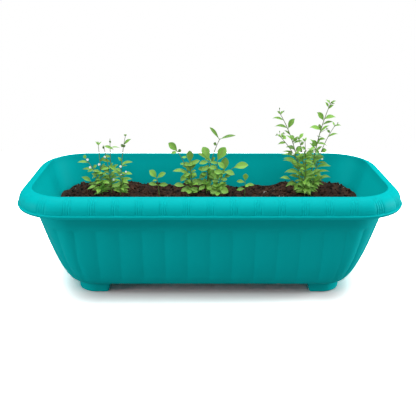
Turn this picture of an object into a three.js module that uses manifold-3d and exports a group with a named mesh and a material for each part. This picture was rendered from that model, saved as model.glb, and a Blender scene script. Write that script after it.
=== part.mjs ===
// Planted window-box planter: a moulded trough with a rolled, grooved rim, fluted walls and four corner feet,
// filled with potting soil in which three groups of young plants and two seedlings stand.
// Millimetres, +Z up, X along the trough, origin on the ground under its middle, front towards -Y.
import * as THREE from 'three';
import { mergeVertices } from 'three/addons/utils/BufferGeometryUtils.js';
import Module from 'manifold-3d';

const wasm = await Module();
wasm.setup();

// Trough
const LENGTH = 600;
const WIDTH = 292;
const HEIGHT = 180;
const WALL = 2.5;
const CLEARANCE = 0.3;

// Rolled rim: a quarter round from the crest out to a ledge, with a flange hanging under it
const RIM_WIDTH = 24;
const RIM_CORNER_RADIUS = 84;
const ROLL_HEIGHT = 23;
const LEDGE = 1.4;
const FLANGE_HEIGHT = 5;
const RIM_ROOT = 6;
const CREST_ROUND = 1.2;
const ROLL_UNDERSIDE_ANGLES = [20, 55, 90];

// Groups of grooves across the roll, one group over each flute valley
const GROOVES_PER_GROUP = 4;
const GROOVE_PITCH = 3.4;
const GROOVE_DEPTH = 0.9;
const GROOVE_ANGLES = [84, 52];
const ROLL_SHOULDER_ANGLE = 20;

// Walls: a straight draft, a belly that tucks in towards the base, and a rounded edge round the base
const END_DRAFT = 33;
const SIDE_DRAFT = 18;
const BELLY = 23;
const BELLY_POWER = 2;
const BASE_ROUND = 5;
const BASE_CORNER_RADIUS = 44;
const FLOOR_FILLET = 2.5;

// Flutes: broad lobes between narrow valleys, under a plain collar
const COLLAR_HEIGHT = 32;
const FLUTE_PITCH = 33.4;
const FLUTE_DEPTH = 2.2;
const FLUTE_STEP = 0.6;
const FLUTE_SHOULDER = 1;
const FLUTE_FADE = 24;
const WALL_STEPS = 5;
const STATIONS_PER_FLUTE = 3;

// Feet: pockets of the floor that carry on the corners of the wall
const FOOT_HEIGHT = 17.5;
const FOOT_LENGTH = 51;
const FOOT_BREADTH = 46;
const FOOT_DRAFT = 2.5;
const FOOT_END_SLANT = 4;
const SOLE_ROUND = 2;
const SOLE_CORNER_RADIUS = 30;

// Round knock-outs in the underside of the floor
const KNOCKOUT_COLUMNS = 4;
const KNOCKOUT_ROWS = 2;
const KNOCKOUT_RADIUS = 6;
const KNOCKOUT_DEPTH = 1.2;
const KNOCKOUT_SIDES = 8;

// Soil. The places of mounds and plants are shares of the soil's half length and half width.
const SOIL_BELOW_RIM = 57.5;
const SOIL_LUMP = 2.6;
const SOIL_LUMP_LENGTH = 56;
const SOIL_LUMP_SLANT = 0.4;
const SOIL_RING_SHARES = [0.93, 0.79, 0.65, 0.5, 0.34, 0.17];
const SOIL_STEPS_PER_PITCH = 2;
const SOIL_MOUNDS = [
  { at: [-0.82, 0.88], height: 9, spread: 40 },
  { at: [-0.5, 0.9], height: 7, spread: 45 },
  { at: [-0.12, 0.9], height: 6, spread: 45 },
  { at: [0.58, 0.9], height: 7, spread: 42 },
  { at: [0.84, 0.8], height: 11, spread: 34 },
  { at: [0.35, -0.47], height: 4, spread: 60 },
  { at: [-0.42, -0.56], height: 4, spread: 60 },
];
const SOIL_GAP = 0.5;
const PLANTING_DEPTH = 12;
const PLANTING_HOLE_GAP = 1;
const PLANTING_HOLE_SIDES = 5;

// Plants
const LEAF_THICKNESS = 1;
const BUD_RADIUS = 2.2;
const PEDICEL_WIDTH = 1.1;
const ROOT_OVERLAP = 1.2;
const HIGHEST_ROOT = 0.95;
const LEAF_ARCH = 0.08;
const LEAF_FACING = new THREE.Vector3(0, -0.74, 0.67);
const STEM_STEPS = 4;
const STEM_TAPER = 0.35;
const STEM_POINT = 1.2;
const CROWN_WIDTH_SHARE = 1.6;
const CROWN_HEIGHT = 4;
const STEM_SPREAD = 0.35;
const STEM_BEND_LEAN = 0.12;
const STEM_BEND_HEIGHT = 0.6;
const TURN_STEP = 9;
const LIFT_STEP = 12;
const LIFT_TRIES = 5;

// Nearest that two points may lie before they count as one, in lengths and in pitch numbers
const SAME_POINT = 1e-4;
const SAME_PITCH = 1e-6;

// Edges of a plant that are shorter than this are drawn together
const SHORTEST_EDGE = 0.03;

// Materials
const plastic = new THREE.MeshStandardMaterial({ color: 0x02a3a8, roughness: 0.42, metalness: 0 });
const earth = new THREE.MeshStandardMaterial({ color: 0x33241c, roughness: 0.95, metalness: 0 });
const foliage = new THREE.MeshStandardMaterial({ color: 0x7fae3e, roughness: 0.6, metalness: 0 });

// Plan of the trough. A level is a rounded rectangle at one height. A point on it is named by its pitch
// number, counted anticlockwise in flute pitches from the middle of the back wall, so flute valleys and
// groove groups sit at whole numbers on every level.
const WALL_TOP = HEIGHT - RIM_ROOT;
const FLOOR_TOP = FOOT_HEIGHT + WALL;
const OUTER_FACE = RIM_WIDTH - WALL;
const FLANGE_TOP = HEIGHT - ROLL_HEIGHT;
const FLANGE_BOTTOM = FLANGE_TOP - FLANGE_HEIGHT;
const FLUTE_TOP = FLANGE_BOTTOM - COLLAR_HEIGHT;

function wallLevel(z, inset = 0) {
  const drop = THREE.MathUtils.clamp((WALL_TOP - z) / (WALL_TOP - FOOT_HEIGHT), 0, 1);
  const belly = BELLY * (1 - (1 - drop ** BELLY_POWER) ** (1 / BELLY_POWER));
  const low = THREE.MathUtils.clamp((FOOT_HEIGHT + BASE_ROUND - z) / BASE_ROUND, 0, 1);
  const tuck = BASE_ROUND * (1 - Math.sqrt(1 - low ** 2));
  const edge = OUTER_FACE + inset + belly + tuck;
  return {
    z,
    halfLength: LENGTH / 2 - edge - END_DRAFT * drop,
    halfWidth: WIDTH / 2 - edge - SIDE_DRAFT * drop,
    corner: THREE.MathUtils.lerp(RIM_CORNER_RADIUS - OUTER_FACE, BASE_CORNER_RADIUS, drop) - inset - tuck,
  };
}

function rimLevel(z, inset) {
  const corner = RIM_CORNER_RADIUS - inset;
  return { z, halfLength: LENGTH / 2 - inset, halfWidth: WIDTH / 2 - inset, corner };
}

const base = wallLevel(FOOT_HEIGHT);
const PITCHES_PER_SIDE = 2 * Math.floor((base.halfLength - base.corner) / FLUTE_PITCH);
const PITCHES_PER_END = Math.max(1, Math.floor((2 * (base.halfWidth - base.corner)) / FLUTE_PITCH));
const SIDE_ZONE = (PITCHES_PER_SIDE / 2) * FLUTE_PITCH;
const END_ZONE = Math.min((PITCHES_PER_END / 2) * FLUTE_PITCH, base.halfWidth - base.corner);
const PITCHES_PER_CORNER = Math.round(cornerPath(wallLevel(FLUTE_TOP), 1).length / FLUTE_PITCH);
const PITCHES_PER_QUARTER = PITCHES_PER_SIDE / 2 + PITCHES_PER_CORNER + PITCHES_PER_END / 2;
const PITCHES = 4 * PITCHES_PER_QUARTER;

// The stretch round a corner: the rest of the long side, the arc and the rest of the end
function cornerPath(level, scale) {
  const side = level.halfLength - level.corner - SIDE_ZONE * scale;
  const end = level.halfWidth - level.corner - END_ZONE * scale;
  return { side, arc: (level.corner * Math.PI) / 2, length: side + (level.corner * Math.PI) / 2 + end };
}

function quarterPoint(level, pitches) {
  const scale = level.scale ?? 1;
  if (pitches <= PITCHES_PER_SIDE / 2) {
    return { x: pitches * FLUTE_PITCH * scale, y: level.halfWidth, turn: Math.PI / 2 };
  }
  const fromEnd = PITCHES_PER_QUARTER - pitches;
  if (fromEnd <= PITCHES_PER_END / 2) {
    return { x: level.halfLength, y: (fromEnd / (PITCHES_PER_END / 2)) * END_ZONE * scale, turn: 0 };
  }
  const path = cornerPath(level, scale);
  const along = ((pitches - PITCHES_PER_SIDE / 2) / PITCHES_PER_CORNER) * path.length;
  if (along < path.side) {
    return { x: SIDE_ZONE * scale + along, y: level.halfWidth, turn: Math.PI / 2 };
  }
  const centreX = level.halfLength - level.corner;
  const centreY = level.halfWidth - level.corner;
  if (along < path.side + path.arc) {
    const turn = Math.PI / 2 - (along - path.side) / level.corner;
    return { x: centreX + level.corner * Math.cos(turn), y: centreY + level.corner * Math.sin(turn), turn };
  }
  return { x: level.halfLength, y: centreY - (along - path.side - path.arc), turn: 0 };
}

function planPoint(level, pitches, inset = 0) {
  const wrapped = THREE.MathUtils.euclideanModulo(pitches, PITCHES);
  const quarter = Math.floor(wrapped / PITCHES_PER_QUARTER);
  const part = wrapped - quarter * PITCHES_PER_QUARTER;
  const point = quarterPoint(level, quarter % 2 === 0 ? part : PITCHES_PER_QUARTER - part);
  const left = quarter < 2 ? -1 : 1;
  const back = quarter === 0 || quarter === 3 ? 1 : -1;
  return new THREE.Vector3(
    left * (point.x - inset * Math.cos(point.turn)),
    back * (point.y - inset * Math.sin(point.turn)),
    level.z,
  );
}

// Closed solids from rings: each ring has its own stations, and neighbours are zipped together by them
function ring(level, stations, relief = () => 0) {
  return { stations, points: stations.map((station) => planPoint(level, station, relief(station))) };
}

function closedSurface(firstPoint, rings, lastPoint) {
  const vertices = [firstPoint];
  const triangles = [];
  const starts = rings.map((item) => vertices.push(...item.points) - item.points.length);
  const last = vertices.push(lastPoint) - 1;
  const at = (index, k) => starts[index] + (k % rings[index].points.length);
  rings[0].points.forEach((_, k) => triangles.push(0, at(0, k + 1), at(0, k)));
  for (let i = 0; i + 1 < rings.length; i += 1) {
    zip(rings[i].stations, rings[i + 1].stations, (a, b, stepsFirst) => {
      const third = stepsFirst ? at(i, a + 1) : at(i + 1, b + 1);
      triangles.push(at(i, a), third, at(i + 1, b));
    });
  }
  const end = rings.length - 1;
  rings[end].points.forEach((_, k) => triangles.push(at(end, k), at(end, k + 1), last));
  const geometry = new THREE.BufferGeometry().setFromPoints(vertices);
  geometry.setIndex(triangles);
  return geometry;
}

function zip(first, second, triangle) {
  let a = 0;
  let b = 0;
  const next = (list, k) => (k + 1 < list.length ? list[k + 1] : list[0] + PITCHES);
  while (a < first.length || b < second.length) {
    const stepsFirst = b >= second.length || (a < first.length && next(first, a) <= next(second, b));
    triangle(a, b, stepsFirst);
    if (stepsFirst) a += 1;
    else b += 1;
  }
}

// Solids for joins and cuts
function toSolid(geometry) {
  const bare = geometry.clone();
  bare.deleteAttribute('normal');
  bare.deleteAttribute('uv');
  const merged = mergeVertices(bare, SAME_POINT);
  const vertProperties = new Float32Array(merged.attributes.position.array);
  const triVerts = new Uint32Array(merged.index.array);
  return new wasm.Manifold(new wasm.Mesh({ numProp: 3, vertProperties, triVerts }));
}

function toGeometry(solid) {
  const mesh = solid.getMesh();
  const geometry = new THREE.BufferGeometry();
  geometry.setAttribute('position', new THREE.BufferAttribute(new Float32Array(mesh.vertProperties), 3));
  geometry.setIndex(new THREE.BufferAttribute(new Uint32Array(mesh.triVerts), 1));
  geometry.computeVertexNormals();
  return geometry;
}

// Stations of the three kinds of ring
const everyPitch = Array.from({ length: Math.round(PITCHES) }, (_, k) => k);

function inCorner(pitches) {
  const part = THREE.MathUtils.euclideanModulo(pitches, 2 * PITCHES_PER_QUARTER);
  const fromSide = Math.min(part, 2 * PITCHES_PER_QUARTER - part);
  return fromSide >= PITCHES_PER_SIDE / 2 && fromSide <= PITCHES_PER_QUARTER - PITCHES_PER_END / 2;
}

const plainStations = everyPitch.flatMap((k) => [k, k + 0.5]).filter(inCorner);
const fluteStations = everyPitch.flatMap((k) =>
  Array.from({ length: STATIONS_PER_FLUTE }, (_, j) => k + j / STATIONS_PER_FLUTE));

const grooveShare = GROOVE_PITCH / FLUTE_PITCH;
const groupHalfShare = (GROOVES_PER_GROUP / 2) * grooveShare;

function groupStations(k) {
  const cuts = Array.from({ length: 2 * GROOVES_PER_GROUP + 1 }, (_, j) => k + (j * grooveShare) / 2);
  return inCorner(k) ? [...cuts, k + 0.5 + groupHalfShare] : cuts;
}

const grooveStations = everyPitch.flatMap(groupStations).map((station) => station - groupHalfShare);

function grooveRelief(station) {
  const along = THREE.MathUtils.euclideanModulo(station + groupHalfShare, 1) / grooveShare;
  if (along > GROOVES_PER_GROUP - SAME_PITCH) return 0;
  return GROOVE_DEPTH * (1 - Math.abs(1 - 2 * (along % 1)));
}

function fluteRelief(z) {
  const strength = Math.min(1, (z - FOOT_HEIGHT) / FLUTE_FADE);
  return (station) => {
    const across = 2 * (station - Math.floor(station)) - 1;
    return strength * (FLUTE_STEP + FLUTE_DEPTH * across ** 2);
  };
}

// Trough
function rollLevel(degrees, thickness = 0) {
  const angle = THREE.MathUtils.degToRad(degrees);
  const reach = (RIM_WIDTH - LEDGE - thickness) * Math.sin(angle);
  return rimLevel(FLANGE_TOP + (ROLL_HEIGHT - thickness) * Math.cos(angle), RIM_WIDTH - reach);
}

function innerLevel(z, gap = 0) {
  const thickening = THREE.MathUtils.clamp((WALL_TOP - z) / (WALL_TOP - FLUTE_TOP), 0, 1);
  return wallLevel(z, WALL + (FLUTE_STEP + FLUTE_DEPTH) * thickening + gap);
}

// Heights of the wall's rings, closer together towards the belly
const wallHeights = Array.from({ length: WALL_STEPS }, (_, k) =>
  FLUTE_TOP - (FLUTE_TOP - FOOT_HEIGHT) * Math.sin((k / WALL_STEPS) * (Math.PI / 2)));

function troughShell() {
  const fluted = wallHeights.map((z) => ring(wallLevel(z), fluteStations, fluteRelief(z))).reverse();
  const plainRoll = (degrees, thickness) => ring(rollLevel(degrees, thickness), plainStations);
  const crestInset = RIM_WIDTH - CREST_ROUND;
  const rings = [
    ring(wallLevel(FOOT_HEIGHT), plainStations),
    ...fluted,
    ring(wallLevel(FLUTE_TOP + FLUTE_SHOULDER), fluteStations),
    ring(wallLevel(WALL_TOP), plainStations),
    ...ROLL_UNDERSIDE_ANGLES.map((degrees) => plainRoll(degrees, WALL)),
    ring(rimLevel(FLANGE_TOP - WALL, WALL), plainStations),
    ring(rimLevel(FLANGE_BOTTOM, WALL), plainStations),
    ring(rimLevel(FLANGE_BOTTOM, 0), plainStations),
    ring(rimLevel(FLANGE_TOP, 0), plainStations),
    plainRoll(90),
    ...GROOVE_ANGLES.map((degrees) => ring(rollLevel(degrees), grooveStations, grooveRelief)),
    plainRoll(ROLL_SHOULDER_ANGLE),
    ring(rimLevel(HEIGHT, crestInset), plainStations),
    ring(rimLevel(HEIGHT - CREST_ROUND, RIM_WIDTH), plainStations),
    ring(innerLevel(WALL_TOP), plainStations),
    ...wallHeights.map((z) => ring(innerLevel(z), plainStations)).slice(0, -1),
    ring(innerLevel(FLOOR_TOP, FLOOR_FILLET), plainStations),
  ];
  const underside = new THREE.Vector3(0, 0, FOOT_HEIGHT);
  return toSolid(closedSurface(underside, rings, new THREE.Vector3(0, 0, FLOOR_TOP)));
}

// A foot's outline at one height, drawn in by the draft and by the wall's thickness for its pocket
function footLevel(z, inset) {
  const down = (FOOT_HEIGHT - z) / FOOT_HEIGHT;
  return {
    z,
    halfLength: base.halfLength - FOOT_DRAFT * Math.max(0, down) - inset,
    halfWidth: base.halfWidth - FOOT_DRAFT * Math.max(0, down) - inset,
    corner: THREE.MathUtils.lerp(base.corner, SOLE_CORNER_RADIUS, Math.max(0, down)) - inset,
  };
}

function footSlab(top, sole, inset) {
  const rings = [
    ring(footLevel(sole, inset + SOLE_ROUND), plainStations),
    ring(footLevel(sole + SOLE_ROUND, inset), plainStations),
    ring(footLevel(FOOT_HEIGHT, inset), plainStations),
    ring({ ...footLevel(FOOT_HEIGHT, inset), z: top }, plainStations),
  ];
  return toSolid(closedSurface(new THREE.Vector3(0, 0, sole), rings, new THREE.Vector3(0, 0, top)));
}

// The block that keeps one corner of the slab. It runs past the slab's outside, and its two inner ends slant
// towards the middle of the floor on the way up.
function cornerBlock(signX, signY, inset) {
  const sole = footLevel(0, 0);
  const geometry = new THREE.BoxGeometry(1, 1, 1);
  const position = geometry.attributes.position;
  for (let k = 0; k < position.count; k += 1) {
    const z = position.getZ(k) > 0 ? 2 * FOOT_HEIGHT : 0;
    const drawnIn = inset - (FOOT_END_SLANT * z) / FOOT_HEIGHT;
    const outerX = position.getX(k) * signX > 0;
    const outerY = position.getY(k) * signY > 0;
    const x = outerX ? base.halfLength + WALL : sole.halfLength - FOOT_LENGTH + drawnIn;
    const y = outerY ? base.halfWidth + WALL : sole.halfWidth - FOOT_BREADTH + drawnIn;
    position.setXYZ(k, signX * x, signY * y, z);
  }
  return toSolid(geometry);
}

function cornerBlocks(inset) {
  const corners = [[1, 1], [-1, 1], [-1, -1], [1, -1]];
  return wasm.Manifold.union(corners.map(([signX, signY]) => cornerBlock(signX, signY, inset)));
}

function knockouts() {
  const columnGap = (2 * SIDE_ZONE) / KNOCKOUT_COLUMNS;
  const rowGap = base.halfWidth / KNOCKOUT_ROWS;
  const [radius, depth] = [KNOCKOUT_RADIUS, 2 * KNOCKOUT_DEPTH];
  const disc = new THREE.CylinderGeometry(radius, radius, depth, KNOCKOUT_SIDES);
  disc.rotateX(Math.PI / 2);
  const cutters = [];
  for (let column = 0; column < KNOCKOUT_COLUMNS; column += 1) {
    for (let row = 0; row < KNOCKOUT_ROWS; row += 1) {
      const x = (column - (KNOCKOUT_COLUMNS - 1) / 2) * columnGap;
      const y = (row - (KNOCKOUT_ROWS - 1) / 2) * rowGap;
      cutters.push(toSolid(disc.clone().translate(x, y, FOOT_HEIGHT)));
    }
  }
  return wasm.Manifold.union(cutters);
}

function trough() {
  const feet = footSlab(FOOT_HEIGHT + WALL / 2, 0, 0).intersect(cornerBlocks(0));
  const pockets = footSlab(FLOOR_TOP + WALL, WALL, WALL).intersect(cornerBlocks(WALL));
  return troughShell().add(feet).subtract(pockets).subtract(knockouts());
}

// Soil
const SOIL_LEVEL = HEIGHT - SOIL_BELOW_RIM;
const soilEdge = innerLevel(SOIL_LEVEL, SOIL_GAP);

function onSoil([alongLength, alongWidth]) {
  return { x: alongLength * soilEdge.halfLength, y: alongWidth * soilEdge.halfWidth };
}

function soilHeight(x, y) {
  const mounds = SOIL_MOUNDS.reduce((sum, mound) => {
    const middle = onSoil(mound.at);
    const distance = Math.hypot(x - middle.x, y - middle.y) / mound.spread;
    return sum + mound.height * Math.exp(-(distance ** 2));
  }, 0);
  const phase = (2 * Math.PI) / SOIL_LUMP_LENGTH;
  const lump = Math.sin((x + SOIL_LUMP_SLANT * y) * phase) * Math.cos(y * phase);
  return SOIL_LEVEL + mounds + SOIL_LUMP * lump;
}

const soilStations = everyPitch.flatMap((k) =>
  Array.from({ length: SOIL_STEPS_PER_PITCH }, (_, j) => k + j / SOIL_STEPS_PER_PITCH));

// The soil's surface on one ring of the soil's edge drawn in to a share of its size
function soilRing(share) {
  const level = {
    z: SOIL_LEVEL,
    halfLength: soilEdge.halfLength * share,
    halfWidth: soilEdge.halfWidth * share,
    corner: soilEdge.corner * share,
    scale: share,
  };
  const result = ring(level, soilStations);
  result.points.forEach((point) => point.setZ(soilHeight(point.x, point.y)));
  return result;
}

function soil() {
  const bottom = FLOOR_TOP + CLEARANCE;
  const rings = [
    ring(innerLevel(bottom, FLOOR_FILLET + 2 * SOIL_GAP), plainStations),
    ...wallHeights.map((z) => ring(innerLevel(z, SOIL_GAP), plainStations)).slice(1, -1).reverse(),
    ring(soilEdge, soilStations),
    ...SOIL_RING_SHARES.map(soilRing),
  ];
  const lowest = new THREE.Vector3(0, 0, bottom);
  return toSolid(closedSurface(lowest, rings, new THREE.Vector3(0, 0, soilHeight(0, 0))));
}

// Plants. A stem, leaf or stalk is a spindle: three-cornered sections along a line of points, closed to a
// point at both ends. Each section corner is given as shares of the half width and of the thickness.
const LEAF_SECTION = [[1, 0], [0, 1], [-1, 0]];
const STEM_SECTION = [[Math.sqrt(3) / 2, -0.5], [0, 1], [-Math.sqrt(3) / 2, -0.5]];

function spindle(points, side, section, sizes, grow = 0) {
  const vertices = [points[0]];
  sizes.forEach(([width, thickness], k) => {
    const along = points[k + 2].clone().sub(points[k]).normalize();
    const over = new THREE.Vector3().crossVectors(along, side).normalize();
    section.forEach(([across, up]) => vertices.push(points[k + 1].clone()
      .addScaledVector(side, across * (width / 2 + grow))
      .addScaledVector(over, up * (thickness + grow) - grow)));
  });
  vertices.push(points[points.length - 1]);
  const triangles = [];
  const last = vertices.length - 1;
  for (let j = 0; j < 3; j += 1) {
    const next = (j + 1) % 3;
    triangles.push(0, 1 + next, 1 + j);
    for (let low = 1; low + 6 <= last; low += 3) {
      triangles.push(low + j, low + next, low + 3 + next, low + j, low + 3 + next, low + 3 + j);
    }
    triangles.push(last - 3 + j, last - 3 + next, last);
  }
  const geometry = new THREE.BufferGeometry().setFromPoints(vertices);
  geometry.setIndex(triangles);
  return toSolid(geometry);
}

function heading(azimuth, rise) {
  const turn = THREE.MathUtils.degToRad(azimuth);
  const lift = THREE.MathUtils.degToRad(rise);
  return new THREE.Vector3(
    Math.cos(turn) * Math.cos(lift),
    Math.sin(turn) * Math.cos(lift),
    Math.sin(lift),
  );
}

const levelSide = (azimuth) => heading(azimuth + 90, 0);

const LEAF_FORMS = {
  lance: { stations: [0.4], widths: [1] },
  spoon: { stations: [0.34, 0.72], widths: [0.55, 1] },
  narrow: { stations: [0.44], widths: [1] },
};

// A leaf turns its upper face up and to the front, as far as its own direction lets it
function leaf(form, root, azimuth, rise, length, width, grow) {
  const out = heading(azimuth, rise);
  const start = root.clone().addScaledVector(out, -ROOT_OVERLAP);
  const tip = root.clone().addScaledVector(out, length);
  const arch = new THREE.Vector3(0, 0, length * LEAF_ARCH);
  const middle = root.clone().addScaledVector(out, length / 2).add(arch);
  const curve = new THREE.QuadraticBezierCurve3(start, middle, tip);
  const { stations, widths } = LEAF_FORMS[form];
  const points = [0, ...stations, 1].map((share) => curve.getPoint(share));
  const sizes = widths.map((share) => [share * width, LEAF_THICKNESS]);
  const side = new THREE.Vector3().crossVectors(out, LEAF_FACING).normalize();
  return spindle(points, side, LEAF_SECTION, sizes, grow);
}

function flower(root, azimuth, rise, length, grow) {
  const out = heading(azimuth, rise);
  const reaches = [-ROOT_OVERLAP, length / 2, length + BUD_RADIUS / 2];
  const points = reaches.map((reach) => root.clone().addScaledVector(out, reach));
  const stalk = spindle(points, levelSide(azimuth), STEM_SECTION, [[PEDICEL_WIDTH, PEDICEL_WIDTH / 2]], grow);
  const head = new THREE.OctahedronGeometry(BUD_RADIUS + grow).translate(...points[2].toArray());
  return stalk.add(toSolid(head));
}

// The crown is the short stock that stands in the soil. The stems spring from the middle of its upper part,
// each a little to the side that it leans to.
function crownSolid(foot, stemWidth) {
  const width = CROWN_WIDTH_SHARE * stemWidth;
  const heights = [-PLANTING_DEPTH, STEM_POINT - PLANTING_DEPTH, CROWN_HEIGHT / 2, CROWN_HEIGHT];
  const points = heights.map((height) => foot.clone().setZ(foot.z + height));
  return spindle(points, new THREE.Vector3(1, 0, 0), STEM_SECTION, [[width, width / 2], [width, width / 2]]);
}

// A stem bends once above the soil, and is straight between its joints
function stemJoints(foot, stem, stemWidth) {
  const lean = new THREE.Vector3(...stem.lean, 0);
  const start = foot.clone().addScaledVector(lean.clone().normalize(), STEM_SPREAD * stemWidth);
  start.setZ(foot.z + CROWN_HEIGHT / 2);
  const tip = foot.clone().add(lean).setZ(foot.z + stem.height);
  const bend = start.clone().lerp(tip, STEM_BEND_LEAN).setZ(foot.z + STEM_BEND_HEIGHT * stem.height);
  return new THREE.QuadraticBezierCurve3(start, bend, tip).getPoints(STEM_STEPS);
}

function pointOnStem(joints, share) {
  const along = Math.min(share, HIGHEST_ROOT) * STEM_STEPS;
  const k = Math.floor(along);
  return joints[k].clone().lerp(joints[k + 1], along - k);
}

function stemSolid(joints, width) {
  const start = joints[0].clone().setZ(joints[0].z - STEM_POINT);
  const points = [start, ...joints.slice(0, -1), pointOnStem(joints, HIGHEST_ROOT), joints[STEM_STEPS]];
  const sizes = points.slice(1, -1).map((_, k) => {
    const slim = width * (1 - (STEM_TAPER * k) / STEM_STEPS);
    return [slim, slim / 2];
  });
  return spindle(points, new THREE.Vector3(1, 0, 0), STEM_SECTION, sizes);
}

// Turns a leaf about its stem, a step at a time to each side, and past a full turn lifts it a step, until it
// stands clear of its neighbours
function placedClear(make, neighbours, azimuth, rise) {
  const turns = Math.round(360 / TURN_STEP);
  for (let attempt = 0; attempt < turns * LIFT_TRIES; attempt += 1) {
    const lifted = rise + LIFT_STEP * Math.floor(attempt / turns);
    const side = attempt % 2 === 0 ? 1 : -1;
    const turned = azimuth + side * TURN_STEP * Math.ceil((attempt % turns) / 2);
    if (make(turned, lifted, CLEARANCE).intersect(neighbours).isEmpty()) return make(turned, lifted, 0);
  }
  throw new Error('a leaf has no clear place');
}

function foliageOn(joints, stem, form, neighbours) {
  const leaves = (stem.leaves ?? []).map(([share, azimuth, length, width, rise]) => {
    const root = pointOnStem(joints, share);
    const make = (turned, lifted, grow) => leaf(form, root, turned, lifted, length, width, grow);
    return placedClear(make, neighbours, azimuth, rise);
  });
  const flowers = (stem.flowers ?? []).map(([share, azimuth, length, rise]) => {
    const root = pointOnStem(joints, share);
    const make = (turned, lifted, grow) => flower(root, turned, lifted, length, grow);
    return placedClear(make, neighbours, azimuth, rise);
  });
  return [...leaves, ...flowers];
}

// Crossing leaves can shut in a pocket of air, whose inside-out skin has a negative volume, and leave edges too
// short to matter
function tidied(solid) {
  const whole = wasm.Manifold.union(solid.decompose().filter((piece) => piece.volume() > 0));
  return whole.asOriginal().simplify(SHORTEST_EDGE);
}

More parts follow.
